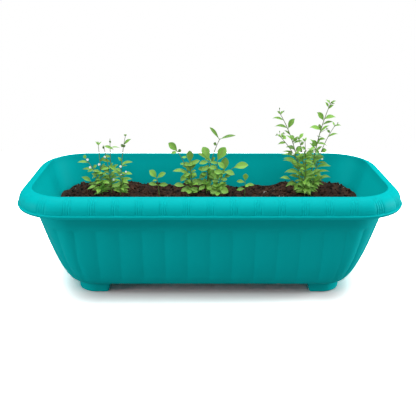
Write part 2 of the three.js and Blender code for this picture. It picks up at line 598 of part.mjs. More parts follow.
// Each leaf: share of the way up its stem, direction round it in degrees from +X, length, width and rise in
// degrees. Each flower: share, direction, length of its stalk and rise.
const PLANTS = [
  {
    name: 'left_herb_1', at: [-0.715, 0.47], form: 'lance', stemWidth: 2,
    stems: [
      {
        lean: [-27, 2], height: 65,
        leaves: [[1, 150, 8, 6, 65], [0.85, 181, 20, 5, 4], [0.63, 178, 20, 5, 5], [0.66, 10, 10, 6, 45],
          [0.64, 196, 11, 5.5, -16], [0.5, 345, 14, 6, 14], [0.42, 160, 13, 5.5, 28]],
        flowers: [[0.97, 330, 4, -10], [0.72, 235, 4, 0]],
      },
      {
        lean: [-3, 4], height: 89,
        leaves: [[0.6, 15, 12, 5.5, 42], [0.44, 350, 14, 7, 10], [0.4, 200, 15, 6, 12],
          [0.2, 335, 17, 9, 0], [0.16, 180, 24, 5.5, 2], [0.2, 240, 14, 7, 6]],
        flowers: [[0.55, 250, 3, 10]],
      },
      {
        lean: [-18, -3], height: 24,
        leaves: [[1, 168, 20, 9, 26], [0.6, 203, 18, 6, -12], [0.35, 262, 15, 9.5, -14]],
      },
    ],
  },
  {
    name: 'left_herb_2', at: [-0.655, 0.53], form: 'lance', stemWidth: 2,
    stems: [
      {
        lean: [-11, 2], height: 86,
        leaves: [[1, 0, 18, 4.5, -16], [0.52, 352, 20, 7, -30], [0.44, 175, 15, 6, 24],
          [0.3, 20, 13, 6, 34]],
        flowers: [[0.71, 215, 3, 10]],
      },
      {
        lean: [1, 4], height: 97,
        leaves: [[0.9, 350, 5, 4, 75], [0.8, 358, 17, 1.8, 4], [0.62, 182, 11, 4.5, 6],
          [0.52, 178, 17, 5.5, 14], [0.36, 8, 18, 6, 42], [0.24, 190, 16, 7, 8]],
        flowers: [[0.22, 330, 6, -10]],
      },
    ],
  },
  {
    name: 'left_herb_3', at: [-0.59, 0.44], form: 'lance', stemWidth: 2,
    stems: [
      {
        lean: [13, 0], height: 107,
        leaves: [[0.8, 4, 17, 6, 40], [0.76, 205, 7, 6, 42], [0.76, 350, 5, 5, 40], [0.5, 172, 11, 3.5, 52],
          [0.46, 5, 20, 5, 12], [0.3, 185, 17, 6, 20], [0.2, 10, 17, 5.5, 6]],
        flowers: [[0.42, 250, 3, 15]],
      },
      {
        lean: [9, -2], height: 40,
        leaves: [[1, 350, 14, 5.5, 0], [0.6, 330, 14, 8, -14], [0.62, 8, 17, 5, 6], [0.4, 205, 19, 8, -6],
          [0.3, 352, 15, 5.5, -4], [0.25, 300, 12, 6, -8], [0.8, 178, 12, 5, 30]],
        flowers: [[1, 20, 3, 30], [0.86, 170, 5, 20]],
      },
    ],
  },
  {
    name: 'seedling_1', at: [-0.33, 0.49], form: 'spoon', stemWidth: 2,
    stems: [
      {
        lean: [-4, 0], height: 31,
        leaves: [[1, 178, 20, 12, 50], [1, 2, 19, 9.5, 34], [0.5, 182, 17, 8, 12], [0.5, 356, 17, 8, 6],
          [0.85, 215, 9, 5, 0]],
      },
    ],
  },
  {
    name: 'middle_herb_1', at: [-0.105, 0.47], form: 'spoon', stemWidth: 2.2,
    stems: [
      {
        lean: [-27, 2], height: 79,
        leaves: [[1, 178, 23, 12.5, 46], [0.96, 190, 12, 5.5, -4], [0.98, 0, 7, 7, 24],
          [0.82, 350, 9, 5, 6], [0.48, 181, 26, 8, 4], [0.42, 196, 18, 10, -36], [0.62, 3, 15, 8, 12],
          [0.34, 170, 13, 8, 20]],
      },
      {
        lean: [-5, 0], height: 59,
        leaves: [[1, 97, 23, 13, 84], [0.86, 172, 13, 8, 24], [0.88, 5, 19, 8, 30], [0.68, 62, 21, 12, 60],
          [0.6, 190, 14, 8, -10], [0.42, 340, 15, 10, -34], [0.3, 185, 14, 8, 12]],
      },
      {
        lean: [-15, -3], height: 18,
        leaves: [[0.9, 177, 20, 9.5, 8], [0.6, 200, 15, 8, -12], [0.45, 258, 13, 10, -12],
          [0.4, 350, 12, 8, 4]],
      },
    ],
  },
  {
    name: 'middle_herb_2', at: [-0.012, 0.53], form: 'spoon', stemWidth: 2.2,
    stems: [
      {
        lean: [5, 0], height: 60,
        leaves: [[1, 140, 27, 15, 56], [1, 178, 24, 6, 34], [0.9, 184, 17, 10, -6], [0.9, 356, 15, 6.5, -6],
          [0.62, 168, 18, 9, 8], [0.56, 200, 18, 10, -30], [0.5, 22, 15, 9, 24]],
      },
      {
        lean: [23, 2], height: 97,
        leaves: [[1, 167, 28, 7.5, 52], [1, 3, 29, 8, 16], [0.85, 190, 7, 7, 30], [0.42, 205, 17, 9, -12],
          [0.36, 335, 20, 11, -36], [0.2, 20, 15, 9, 14]],
      },
      {
        lean: [-4, -6], height: 19,
        leaves: [[0.9, 178, 18, 13, 12], [0.6, 222, 15, 9, -14], [0.5, 320, 14, 9, -8]],
      },
    ],
  },
  {
    name: 'middle_herb_3', at: [0.058, 0.44], form: 'spoon', stemWidth: 2.2,
    stems: [
      {
        lean: [0, 0.5], height: 65,
        leaves: [[1, 20, 29, 16, 58], [0.94, 350, 16, 10, -38], [0.72, 182, 15, 8, 14], [0.6, 6, 17, 9, 2]],
      },
      {
        lean: [12, 0], height: 46,
        leaves: [[1, 62, 26, 14, 74], [1, 354, 19, 11, -12], [0.92, 184, 16, 10.5, 8],
          [0.6, 340, 13, 7, 10]],
      },
      {
        lean: [29, 3], height: 52,
        leaves: [[1, 2, 27, 13, 13], [0.62, 350, 12, 8, 22]],
      },
      {
        lean: [4, -6], height: 16,
        leaves: [[0.9, 345, 17, 13, -12], [0.6, 205, 15, 9, -6], [0.5, 262, 13, 9, -12],
          [0.5, 10, 16, 7, 14]],
      },
    ],
  },
  {
    name: 'seedling_2', at: [0.246, 0.53], form: 'spoon', stemWidth: 1.8,
    stems: [
      {
        lean: [0.5, 0], height: 24,
        leaves: [[1, 62, 14, 10, 76], [0.85, 178, 15, 7, 8], [0.6, 356, 16, 6.5, 4], [0.3, 186, 15, 7, -6],
          [0.6, 300, 10, 7, 2]],
      },
    ],
  },
  {
    name: 'right_shrub_1', at: [0.675, 0.47], form: 'narrow', stemWidth: 2.6,
    stems: [
      {
        lean: [29, 0], height: 161,
        leaves: [[1, 150, 12, 2.5, 60], [1, 15, 12, 2.5, 28], [0.92, 165, 12, 4, 58], [0.9, 10, 13, 4, 40],
          [0.76, 172, 20, 8, 52], [0.78, 3, 20, 8, 14], [0.71, 2, 20, 4, 20], [0.65, 178, 20, 8, 18],
          [0.64, 110, 14, 5, 62], [0.57, 270, 11, 8, 20], [0.54, 350, 13, 4, 12], [0.46, 160, 15, 10, 60],
          [0.41, 182, 17, 7, -10], [0.4, 15, 18, 4, 42], [0.35, 185, 20, 4.5, 34], [0.3, 350, 20, 4.5, 30],
          [0.24, 170, 19, 4.5, 42], [0.18, 10, 19, 5, 24], [0.12, 200, 17, 5, 18]],
        flowers: [[0.42, 220, 3, 10]],
      },
      {
        lean: [18, -4], height: 30,
        leaves: [[1, 355, 19, 5, 8], [0.7, 5, 18, 5, 22], [0.6, 300, 15, 8, -6], [0.4, 320, 14, 7, -10],
          [0.8, 180, 14, 4, 40]],
      },
    ],
  },
  {
    name: 'right_shrub_2', at: [0.7, 0.55], form: 'narrow', stemWidth: 2.2,
    stems: [
      {
        lean: [35, 4], height: 118,
        leaves: [[1, 5, 12, 2.5, 10], [0.78, 3, 19, 3.5, 22], [0.85, 170, 8, 4, 40], [0.54, 0, 11, 8.5, 24],
          [0.3, 358, 27, 4, 14], [0.5, 178, 16, 4, 42], [0.38, 175, 18, 4, 42], [0.32, 350, 19, 5, 8],
          [0.22, 5, 22, 4.5, 14], [0.16, 185, 17, 5, 26]],
        flowers: [[0.45, 350, 5, -10]],
      },
    ],
  },
  {
    name: 'right_shrub_3', at: [0.622, 0.53], form: 'narrow', stemWidth: 2.4,
    stems: [
      {
        lean: [-42, 2], height: 140,
        leaves: [[0.88, 180, 21, 3.5, 16], [0.77, 182, 23, 5, 14], [0.76, 8, 23, 8.5, 60],
          [0.68, 300, 11, 9, -35], [0.58, 10, 12, 6, 40], [0.5, 182, 16, 4, 14], [0.46, 15, 15, 5, 44],
          [0.4, 178, 20, 4.5, 26], [0.36, 12, 17, 4.5, 44], [0.3, 178, 24, 5, 22], [0.22, 190, 20, 5, -2],
          [0.2, 15, 18, 5, 32], [0.14, 175, 19, 5.5, 18]],
      },
      {
        lean: [-20, -4], height: 24,
        leaves: [[0.95, 176, 19, 8, 12], [0.7, 205, 18, 8.5, -16], [0.5, 250, 15, 9, -22],
          [0.3, 185, 15, 5, 20]],
      },
    ],
  },
  {
    name: 'right_shrub_4', at: [0.648, 0.43], form: 'narrow', stemWidth: 2.2,
    stems: [
      {
        lean: [-48, 0], height: 104,
        leaves: [[1, 60, 10, 2.5, 60], [0.94, 20, 8, 8, 35], [0.86, 182, 14, 4.5, -4],
          [0.8, 330, 12, 7.5, -20], [0.7, 205, 10, 8, -30], [0.6, 180, 19, 4, 14], [0.5, 183, 24, 5, 22],
          [0.5, 10, 17, 4.5, 42], [0.4, 5, 18, 4.5, 34], [0.3, 185, 20, 5, 12]],
        flowers: [[0.66, 250, 3, 10]],
      },
      {
        lean: [-16, -2], height: 101,
        leaves: [[1, 30, 11, 8, 40], [0.85, 0, 8, 5, 45], [0.7, 165, 13, 6, 50], [0.6, 350, 14, 5, 44],
          [0.54, 184, 18, 5, 38], [0.46, 345, 19, 5, 38], [0.4, 178, 19, 5, 40], [0.32, 225, 18, 5, 28],
          [0.28, 335, 19, 5, 24], [0.2, 262, 17, 8, -6]],
      },
      {
        lean: [-6, -6], height: 98,
        leaves: [[0.8, 200, 10, 5, 30], [0.62, 10, 14, 4, 45], [0.5, 335, 18, 5, 38], [0.4, 352, 20, 5, 34],
          [0.3, 5, 20, 5, 22], [0.2, 290, 18, 9, -14], [0.14, 340, 18, 7, -6]],
      },
      {
        lean: [1, -8], height: 14,
        leaves: [[0.9, 250, 15, 10, -14], [0.7, 295, 15, 10, -12], [0.5, 180, 18, 9, -4],
          [0.5, 352, 18, 9, -2]],
      },
    ],
  },
];

// Assembly
const planter = new THREE.Group();

function addMesh(name, solid, material) {
  const mesh = new THREE.Mesh(toGeometry(solid), material);
  mesh.name = name;
  planter.add(mesh);
}

// A plant's foot is at the highest soil that its crown covers
function plantFoot(spec, ground) {
  const { x, y } = onSoil(spec.at);
  const size = CROWN_WIDTH_SHARE * spec.stemWidth + 2 * CLEARANCE;
  const column = new THREE.BoxGeometry(size, size, 2 * HEIGHT).translate(x, y, 0);
  return new THREE.Vector3(x, y, ground.intersect(toSolid(column)).boundingBox().max[2]);
}

function plantingHole({ spec, foot }) {
  const radius = (CROWN_WIDTH_SHARE * spec.stemWidth) / 2 + PLANTING_HOLE_GAP;
  const depth = PLANTING_DEPTH + CLEARANCE;
  const hole = new THREE.CylinderGeometry(radius, radius, 2 * depth, PLANTING_HOLE_SIDES);
  return toSolid(hole.rotateX(Math.PI / 2).translate(foot.x, foot.y, foot.z));
}

const shell = trough();
const ground = soil();

// All the stems stand before the first leaf grows, and each leaf grows clear of the other plants
const crowns = PLANTS.map((spec) => {
  const foot = plantFoot(spec, ground);
  const joints = spec.stems.map((stem) => stemJoints(foot, stem, spec.stemWidth));
  const stems = joints.map((line) => stemSolid(line, spec.stemWidth));
  const solid = wasm.Manifold.union([crownSolid(foot, spec.stemWidth), ...stems]);
  return { spec, foot, joints, solid };
});

addMesh('trough', shell, plastic);
addMesh('potting_soil', ground.subtract(wasm.Manifold.union(crowns.map(plantingHole))), earth);

crowns.forEach((crown) => {
  const others = crowns.filter((other) => other !== crown).map((other) => other.solid);
  const neighbours = wasm.Manifold.union([shell, ground, ...others]);
  const { form, stems } = crown.spec;
  const grown = stems.flatMap((stem, k) => foliageOn(crown.joints[k], stem, form, neighbours));
  crown.solid = tidied(wasm.Manifold.union([crown.solid, ...grown]));
  addMesh(crown.spec.name, crown.solid, foliage);
});

export default planter;
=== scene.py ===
"""Planted window-box planter: the visible model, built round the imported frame.

A moulded trough with a rolled, grooved rim, fluted walls and four corner feet holds potting soil, in which
three groups of young plants and two seedlings stand. Metres, +Z up, X along the trough, front towards -Y.
"""

import logging
import math
from dataclasses import dataclass, field
from enum import Enum

import bpy
import numpy as np
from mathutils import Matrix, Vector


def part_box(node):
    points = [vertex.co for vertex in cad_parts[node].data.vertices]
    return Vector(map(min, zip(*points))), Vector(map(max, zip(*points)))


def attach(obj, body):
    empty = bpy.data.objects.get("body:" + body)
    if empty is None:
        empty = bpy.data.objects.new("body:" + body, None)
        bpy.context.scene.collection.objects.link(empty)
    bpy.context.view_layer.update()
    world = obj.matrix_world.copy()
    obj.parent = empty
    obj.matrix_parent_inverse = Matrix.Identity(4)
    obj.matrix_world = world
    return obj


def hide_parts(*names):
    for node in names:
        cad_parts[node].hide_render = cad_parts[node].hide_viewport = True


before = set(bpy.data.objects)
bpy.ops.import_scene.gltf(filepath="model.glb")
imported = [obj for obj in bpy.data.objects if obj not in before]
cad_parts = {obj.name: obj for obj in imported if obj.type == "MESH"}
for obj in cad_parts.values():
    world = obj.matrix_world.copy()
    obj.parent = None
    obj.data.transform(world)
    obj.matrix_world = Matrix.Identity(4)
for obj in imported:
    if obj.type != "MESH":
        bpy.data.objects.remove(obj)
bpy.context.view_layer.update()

LOG = logging.getLogger("planter")
MM = 0.001
BODY = "root"
SHARP_ANGLE = math.radians(32)
NOISE_PERIOD = 256
LEAST_LENGTH = 1e-12


# Meshes


class Slot(Enum):
    """Material slots, one for each kind of piece."""

    PLASTIC = "teal_plastic"
    SOIL = "soil"
    FOLIAGE = "foliage"


def ring_faces(rows: int, columns: int) -> np.ndarray:
    """Quads between neighbouring rows of a grid whose rows are closed rings.

    Formula: quad (i, j) joins points j and j + 1 of row i to the same points of row i + 1, counted round.

    Args:
        rows: Number of rows.
        columns: Number of points in each row.

    Returns:
        One row of four point numbers per quad.
    """
    row, column = np.meshgrid(np.arange(rows - 1), np.arange(columns), indexing="ij")
    after = (column + 1) % columns
    here, there = row * columns, (row + 1) * columns
    corners = [here + column, here + after, there + after, there + column]
    return np.stack(corners, axis=-1).reshape(-1, 4)


def zip_faces(first: np.ndarray, second: np.ndarray, turn: float) -> np.ndarray:
    """Triangles between two closed rings whose points stand at different stations.

    Formula: the steps of both rings are put in order of the station that they lead to. Each step is one side
    of a triangle, whose third corner is the point that the other ring has reached by a running count.

    Args:
        first: Stations of the first ring, rising.
        second: Stations of the second ring, rising, whose points follow those of the first.
        turn: Length of a full turn, in stations.

    Returns:
        One row of three point numbers per triangle.
    """
    ends = np.concatenate([np.append(first[1:], first[0] + turn), np.append(second[1:], second[0] + turn)])
    order = np.argsort(ends, kind="stable")
    on_first = order < len(first)
    a = np.cumsum(on_first) - on_first
    b = np.cumsum(~on_first) - ~on_first
    third = np.where(on_first, (a + 1) % len(first), len(first) + (b + 1) % len(second))
    return np.stack([a % len(first), third, len(first) + b % len(second)], axis=1)


def add_object(name: str, data: bpy.types.ID) -> bpy.types.Object:
    """Makes an object from its data and links it to the scene."""
    made = bpy.data.objects.new(name, data)
    bpy.context.scene.collection.objects.link(made)
    return made


@dataclass
class Skin:
    """Points and faces of one mesh, gathered part by part.

    Each point has a texture place and a tint: three numbers from 0 to 1 that the finishes read.
    """

    points: list[np.ndarray] = field(default_factory=list)
    faces: list[np.ndarray] = field(default_factory=list)
    finishes: list[np.ndarray] = field(default_factory=list)
    places: list[np.ndarray] = field(default_factory=list)
    tints: list[np.ndarray] = field(default_factory=list)
    count: int = 0

    def add(self, points: np.ndarray, faces: list[np.ndarray], finish: int = 0,
            places: np.ndarray | None = None, tints: np.ndarray | None = None) -> None:
        """Adds points and the faces between them.

        Args:
            points: One row of coordinates per point.
            faces: Arrays of point numbers, counted from the first of these points.
            finish: Number of the material that the faces take.
            places: Texture place of each point, or None for zeros.
            tints: Tint of each point, or None for zeros.
        """
        self.points.append(points)
        self.places.append(np.zeros((len(points), 2)) if places is None else places)
        self.tints.append(np.zeros((len(points), 3)) if tints is None else tints)
        for block in faces:
            self.faces.append(block + self.count)
            self.finishes.append(np.full(len(block), finish))
        self.count += len(points)

    def make(self, name: str, materials: list[bpy.types.Material], smooth: bool = True) -> bpy.types.Object:
        """Makes the object, its faces turned outwards.

        Args:
            name: Name of the object and its mesh.
            materials: Materials in the order of the finish numbers.
            smooth: Whether faces that meet at a blunt angle are shaded as one surface.

        Returns:
            The object, at the origin.
        """
        mesh = bpy.data.meshes.new(name)
        points = np.concatenate(self.points)
        loops = np.concatenate([block.ravel() for block in self.faces])
        sizes = np.concatenate([np.full(len(block), block.shape[1]) for block in self.faces])
        mesh.vertices.add(len(points))
        mesh.vertices.foreach_set("co", points.ravel())
        mesh.loops.add(len(loops))
        mesh.loops.foreach_set("vertex_index", loops.astype(np.int32))
        mesh.polygons.add(len(sizes))
        mesh.polygons.foreach_set("loop_start", np.append(0, np.cumsum(sizes)[:-1]).astype(np.int32))
        mesh.polygons.foreach_set("material_index", np.concatenate(self.finishes).astype(np.int32))
        mesh.polygons.foreach_set("use_smooth", np.full(len(sizes), smooth))
        mesh.update(calc_edges=True)
        layer = mesh.uv_layers.new(name="place")
        layer.uv.foreach_set("vector", np.concatenate(self.places)[loops].astype(np.float32).ravel())
        tint = mesh.color_attributes.new("tint", "FLOAT_COLOR", "POINT")
        colours = np.column_stack([np.concatenate(self.tints), np.ones(len(points))])
        tint.data.foreach_set("color", colours.astype(np.float32).ravel())
        if smooth:
            mesh.set_sharp_from_angle(angle=SHARP_ANGLE)
        mesh.validate()
        for material in materials:
            mesh.materials.append(material)
        return add_object(name, mesh)


@dataclass
class RingSurface:
    """A closed surface from rings, each with its own stations, zipped to its neighbours."""

    turn: float
    stations: list[np.ndarray] = field(default_factory=list)
    points: list[np.ndarray] = field(default_factory=list)

    def add(self, stations: np.ndarray, points: np.ndarray) -> None:
        """Adds the next ring."""
        self.stations.append(stations)
        self.points.append(points)

    def fill(self, skin: Skin, first: np.ndarray, last: np.ndarray) -> None:
        """Adds the whole surface to a skin, closed by fans at both ends.

        Args:
            skin: Skin that takes the points and faces.
            first: Middle of the fan inside the first ring.
            last: Middle of the fan inside the last ring.
        """
        starts = 1 + np.cumsum([0] + [len(ring) for ring in self.points])
        end = int(starts[-1])
        faces = [self._fan(int(starts[0]), len(self.points[0]), 0, False)]
        for k in range(len(self.points) - 1):
            faces.append(self._band(k) + int(starts[k]))
        faces.append(self._fan(int(starts[-2]), len(self.points[-1]), end, True))
        skin.add(np.concatenate([first[None], *self.points, last[None]]), faces)

    def _band(self, k: int) -> np.ndarray:
        """Faces between two neighbouring rings.

        Args:
            k: Number of the first of the two.

        Returns:
            One row of point numbers per face, counted from the first point of ring k.
        """
        here, there = self.stations[k], self.stations[k + 1]
        if len(here) == len(there):
            return ring_faces(2, len(here))
        return zip_faces(here, there, self.turn)

    @staticmethod
    def _fan(start: int, count: int, middle: int, inwards: bool) -> np.ndarray:
        """Triangles from a ring to a point.

        Args:
            start: Number of the ring's first point.
            count: Number of points in the ring.
            middle: Number of the point.
            inwards: Whether the ring comes first.

        Returns:
            One row of three point numbers per triangle.
        """
        here = np.arange(count)
        there = (here + 1) % count
        pair = [here, there] if inwards else [there, here]
        return np.stack([pair[0] + start, pair[1] + start, np.full(count, middle)], axis=1)


@dataclass
class Spindles:
    """Many closed tubes of equal counts: each has rows of points round a line, and a point at both ends."""

    rows: int
    sides: int

    def fill(self, skin: Skin, rings: np.ndarray, starts: np.ndarray, ends: np.ndarray, finish: int,
             places: np.ndarray, tints: np.ndarray) -> None:
        """Adds the tubes to a skin.

        Formula: tube n holds its start, then rows times sides points, then its end. Quads join the rows, and
        fans join the first row to the start and the last row to the end.

        Args:
            skin: Skin that takes the points and faces.
            rings: Points by tube, row and side.
            starts: First point of each tube.
            ends: Last point of each tube.
            finish: Number of the material.
            places: Texture places by tube, row and side.
            tints: Tint of each tube, or tints by tube, row and side.
        """
        count = len(rings)
        inner = self.rows * self.sides
        block = inner + 2
        points = np.concatenate([starts[:, None], rings.reshape(count, inner, 3), ends[:, None]], axis=1)
        flat = places.reshape(count, inner, 2)
        uvs = np.concatenate([flat[:, :1], flat, flat[:, -1:]], axis=1)
        if tints.ndim == 2:
            tints = np.broadcast_to(tints[:, None], (count, inner, 3))
        shades = tints.reshape(count, inner, 3)
        shades = np.concatenate([shades[:, :1], shades, shades[:, -1:]], axis=1)
        offsets = (np.arange(count) * block)[:, None, None]
        here = np.arange(self.sides)
        there = (here + 1) % self.sides
        quads = ring_faces(self.rows, self.sides) + 1
        low = np.stack([np.zeros_like(here), 1 + there, 1 + here], axis=1)
        top = 1 + inner - self.sides
        high = np.stack([top + here, top + there, np.full_like(here, 1 + inner)], axis=1)
        faces = [(part[None] + offsets).reshape(-1, part.shape[1]) for part in (low, quads, high)]
        skin.add(points.reshape(-1, 3), faces, finish, uvs.reshape(-1, 2), shades.reshape(-1, 3))


def lattice_noise(x: np.ndarray, y: np.ndarray, cell: float, seed: int) -> np.ndarray:
    """Smooth noise from -1 to 1 over a plane.

    Formula: random values stand at the corners of square cells, and each place mixes its four corners with
    the weight 3 t^2 - 2 t^3 along both sides.

    Args:
        x: First coordinate of each place.
        y: Second coordinate of each place.
        cell: Side of a cell.
        seed: Seed of the random values.

    Returns:
        The noise at each place.
    """
    table = np.random.default_rng(seed).uniform(-1, 1, (NOISE_PERIOD, NOISE_PERIOD))
    column, row = np.floor(x / cell).astype(int), np.floor(y / cell).astype(int)
    across, along = x / cell - column, y / cell - row
    across = across * across * (3 - 2 * across)
    along = along * along * (3 - 2 * along)
    left, right = column % NOISE_PERIOD, (column + 1) % NOISE_PERIOD
    front, back = row % NOISE_PERIOD, (row + 1) % NOISE_PERIOD
    near = table[left, front] * (1 - across) + table[right, front] * across
    far = table[left, back] * (1 - across) + table[right, back] * across
    return near * (1 - along) + far * along


# Finishes


class Tree:
    """A node tree that is filled by name."""

    def __init__(self, tree: bpy.types.NodeTree) -> None:
        """Takes the tree to fill."""
        self.tree = tree

    def node(self, kind: str, **sockets: object) -> bpy.types.Node:
        """Adds a node.

        Args:
            kind: Type name of the node.
            sockets: Values or output sockets by input name, with underscores for spaces.

        Returns:
            The node.
        """
        made = self.tree.nodes.new(kind)
        for name, value in sockets.items():
            self.feed(made.inputs[name.replace("_", " ")], value)
        return made

    def feed(self, socket: bpy.types.NodeSocket, value: object) -> None:
        """Links or sets one input.

        Args:
            socket: The input.
            value: Output socket to link, or value to set.
        """
        if isinstance(value, bpy.types.NodeSocket):
            self.tree.links.new(value, socket)
        else:
            socket.default_value = value

    def maths(self, operation: str, first: object, second: object = 0.0,
              clamp: bool = False) -> bpy.types.NodeSocket:
        """Adds a Math node.

        Args:
            operation: Type name of the operation.
            first: First value or output socket.
            second: Second value or output socket, where the operation has one.
            clamp: Whether the result is kept from 0 to 1.

        Returns:
            The node's output.
        """
        made = self.tree.nodes.new("ShaderNodeMath")
        made.operation = operation
        made.use_clamp = clamp
        self.feed(made.inputs[0], first)
        self.feed(made.inputs[1], second)
        return made.outputs[0]

    def blend(self, factor: object, first: object, second: object) -> bpy.types.NodeSocket:
        """Adds a colour Mix node.

        Args:
            factor: Share of the second colour.
            first: First colour or output socket.
            second: Second colour or output socket.

        Returns:
            The node's colour output.
        """
        # Inputs 6 and 7 and output 2 of a Mix node are the ones for colours.
        made = self.tree.nodes.new("ShaderNodeMix")
        made.data_type = "RGBA"
        self.feed(made.inputs[0], factor)
        self.feed(made.inputs[6], first)
        self.feed(made.inputs[7], second)
        return made.outputs[2]

    def ramp(self, value: object, stops: list[tuple[float, float]]) -> bpy.types.NodeSocket:
        """Adds a grey ramp.

        Args:
            value: What the ramp reads.
            stops: Place and grey value of each stop.

        Returns:
            The ramp's colour output.
        """
        made = self.tree.nodes.new("ShaderNodeValToRGB")
        for k, (place, grey) in enumerate(stops):
            stop = made.color_ramp.elements[k] if k < 2 else made.color_ramp.elements.new(place)
            stop.position = place
            stop.color = (grey, grey, grey, 1)
        self.feed(made.inputs[0], value)
        return made.outputs[0]

    def rise(self, value: object, start: float, end: float) -> bpy.types.NodeSocket:
        """Adds a smooth step from 0 to 1.

        Args:
            value: What the step reads.
            start: Value at which it leaves 0.
            end: Value at which it reaches 1.

        Returns:
            The step's output.
        """
        made = self.node("ShaderNodeMapRange", Value=value, From_Min=start, From_Max=end)
        made.interpolation_type = "SMOOTHSTEP"
        return made.outputs[0]

    def tint(self) -> bpy.types.Node:
        """Adds the nodes that read a point's tint, and gives the one whose outputs are its three numbers."""
        made = self.tree.nodes.new("ShaderNodeAttribute")
        made.attribute_name = "tint"
        return self.node("ShaderNodeSeparateColor", Color=made.outputs["Color"])

    def mottled(self, value: object, mask: object, strength: float) -> bpy.types.NodeSocket:
        """Raises and lowers a share by a mask.

        Formula: value + (mask - 0.5) strength, kept from 0 to 1.

        Args:
            value: The share.
            mask: Noise round 0.5.
            strength: How far the mask moves the share.

        Returns:
            The moved share.
        """
        swing = self.maths("MULTIPLY", self.maths("SUBTRACT", mask, 0.5), strength)
        return self.maths("ADD", value, swing, clamp=True)


def rgba(colour: tuple[float, float, float]) -> tuple[float, float, float, float]:
    """A colour with full alpha."""
    return (*colour, 1.0)


def grain_group() -> bpy.types.NodeTree:
    """Group that mixes coarse and fine noise, made once and shared by the finishes.

    Formula: the height is fine balance + coarse (1 - balance), and the mask is the coarse noise.

    Returns:
        The group, with a mask for colour and roughness and a height for bumps.
    """
    known = bpy.data.node_groups.get("surface_grain")
    if known:
        return known
    group = bpy.data.node_groups.new("surface_grain", "ShaderNodeTree")
    face = group.interface
    face.new_socket("Vector", in_out="INPUT", socket_type="NodeSocketVector")
    for name, value in (("Coarse", 40.0), ("Fine", 600.0), ("Balance", 0.5)):
        face.new_socket(name, in_out="INPUT", socket_type="NodeSocketFloat").default_value = value
    face.new_socket("Mask", in_out="OUTPUT", socket_type="NodeSocketFloat")
    face.new_socket("Height", in_out="OUTPUT", socket_type="NodeSocketFloat")
    tree = Tree(group)
    source = tree.node("NodeGroupInput")
    coarse = tree.node("ShaderNodeTexNoise", Vector=source.outputs[0], Scale=source.outputs[1], Detail=3.0)
    fine = tree.node("ShaderNodeTexNoise", Vector=source.outputs[0], Scale=source.outputs[2], Detail=2.0)
    share = tree.maths("MULTIPLY", fine.outputs[0], source.outputs[3])
    rest = tree.maths("SUBTRACT", 1.0, source.outputs[3])
    total = tree.maths("ADD", share, tree.maths("MULTIPLY", coarse.outputs[0], rest))
    tree.node("NodeGroupOutput", Mask=coarse.outputs[0], Height=total)
    return group


@dataclass(frozen=True)
class Grain:
    """How strongly a finish shows its grain. Scales are features per metre and heights are metres."""

    coarse: float
    fine: float
    balance: float
    height: float
    strength: float

    def place(self, tree: Tree, shader: bpy.types.Node) -> bpy.types.NodeSocket:
        """Places the grain group in a material and bumps the shader's normal by it.

        Args:
            tree: The material's tree.
            shader: The material's shader.

        Returns:
            The mask.
        """
        group = tree.tree.nodes.new("ShaderNodeGroup")
        group.node_tree = grain_group()
        tree.feed(group.inputs["Vector"], tree.node("ShaderNodeTexCoord").outputs["Object"])
        for name, value in (("Coarse", self.coarse), ("Fine", self.fine), ("Balance", self.balance)):
            tree.feed(group.inputs[name], value)
        bump = tree.node("ShaderNodeBump", Height=group.outputs["Height"], Strength=self.strength)
        tree.feed(bump.inputs["Distance"], self.height)
        tree.feed(shader.inputs["Normal"], bump.outputs[0])
        return group.outputs["Mask"]


def new_material(name: str) -> tuple[bpy.types.Material, Tree, bpy.types.Node]:
    """Makes a material with a Principled shader.

    Args:
        name: Name of the material.

    Returns:
        The material, its tree and its shader.
    """
    material = bpy.data.materials.new(name)
    material.use_nodes = True
    return material, Tree(material.node_tree), material.node_tree.nodes["Principled BSDF"]


@dataclass(frozen=True)
class MouldedPlastic:
    """Satin coloured plastic as it leaves a mould: even, with a faint mottle and a very fine grain."""

    name: str = "moulded_plastic"
    colour: tuple[float, float, float] = (0.0006, 0.57, 0.583)
    mottle: tuple[float, float, float] = (0.0006, 0.535, 0.548)
    roughness: tuple[float, float] = (0.42, 0.52)
    ior: float = 1.47
    specular: float = 0.035
    grain: Grain = Grain(coarse=14.0, fine=1700.0, balance=0.8, height=0.00004, strength=0.35)

    def build(self) -> bpy.types.Material:
        """Makes the material."""
        material, tree, shader = new_material(self.name)
        mask = self.grain.place(tree, shader)
        tree.feed(shader.inputs["Base Color"], tree.blend(mask, rgba(self.colour), rgba(self.mottle)))
        low, high = self.roughness
        spread = tree.maths("MULTIPLY", mask, high - low)
        tree.feed(shader.inputs["Roughness"], tree.maths("ADD", spread, low))
        shader.inputs["IOR"].default_value = self.ior
        shader.inputs["Specular IOR Level"].default_value = self.specular
        return material


@dataclass(frozen=True)
class PottingSoil:
    """Moist potting mix. The tint's first number runs from dark peat to bark, and its second is perlite."""

    name: str = "potting_mix"
    peat: tuple[float, float, float] = (0.0098, 0.0042, 0.0027)
    bark: tuple[float, float, float] = (0.12, 0.05, 0.027)
    perlite: tuple[float, float, float] = (0.62, 0.6, 0.56)
    mottle: float = 1.3
    roughness: float = 0.88
    specular: float = 0.3
    grain: Grain = Grain(coarse=160.0, fine=900.0, balance=0.5, height=0.0012, strength=0.8)

    def build(self) -> bpy.types.Material:
        """Makes the material."""
        material, tree, shader = new_material(self.name)
        mask = self.grain.place(tree, shader)
        parts = tree.tint()
        share = tree.mottled(parts.outputs[0], mask, self.mottle)
        earth = tree.blend(share, rgba(self.peat), rgba(self.bark))
        tree.feed(shader.inputs["Base Color"], tree.blend(parts.outputs[1], earth, rgba(self.perlite)))
        shader.inputs["Roughness"].default_value = self.roughness
        shader.inputs["Specular IOR Level"].default_value = self.specular
        return material


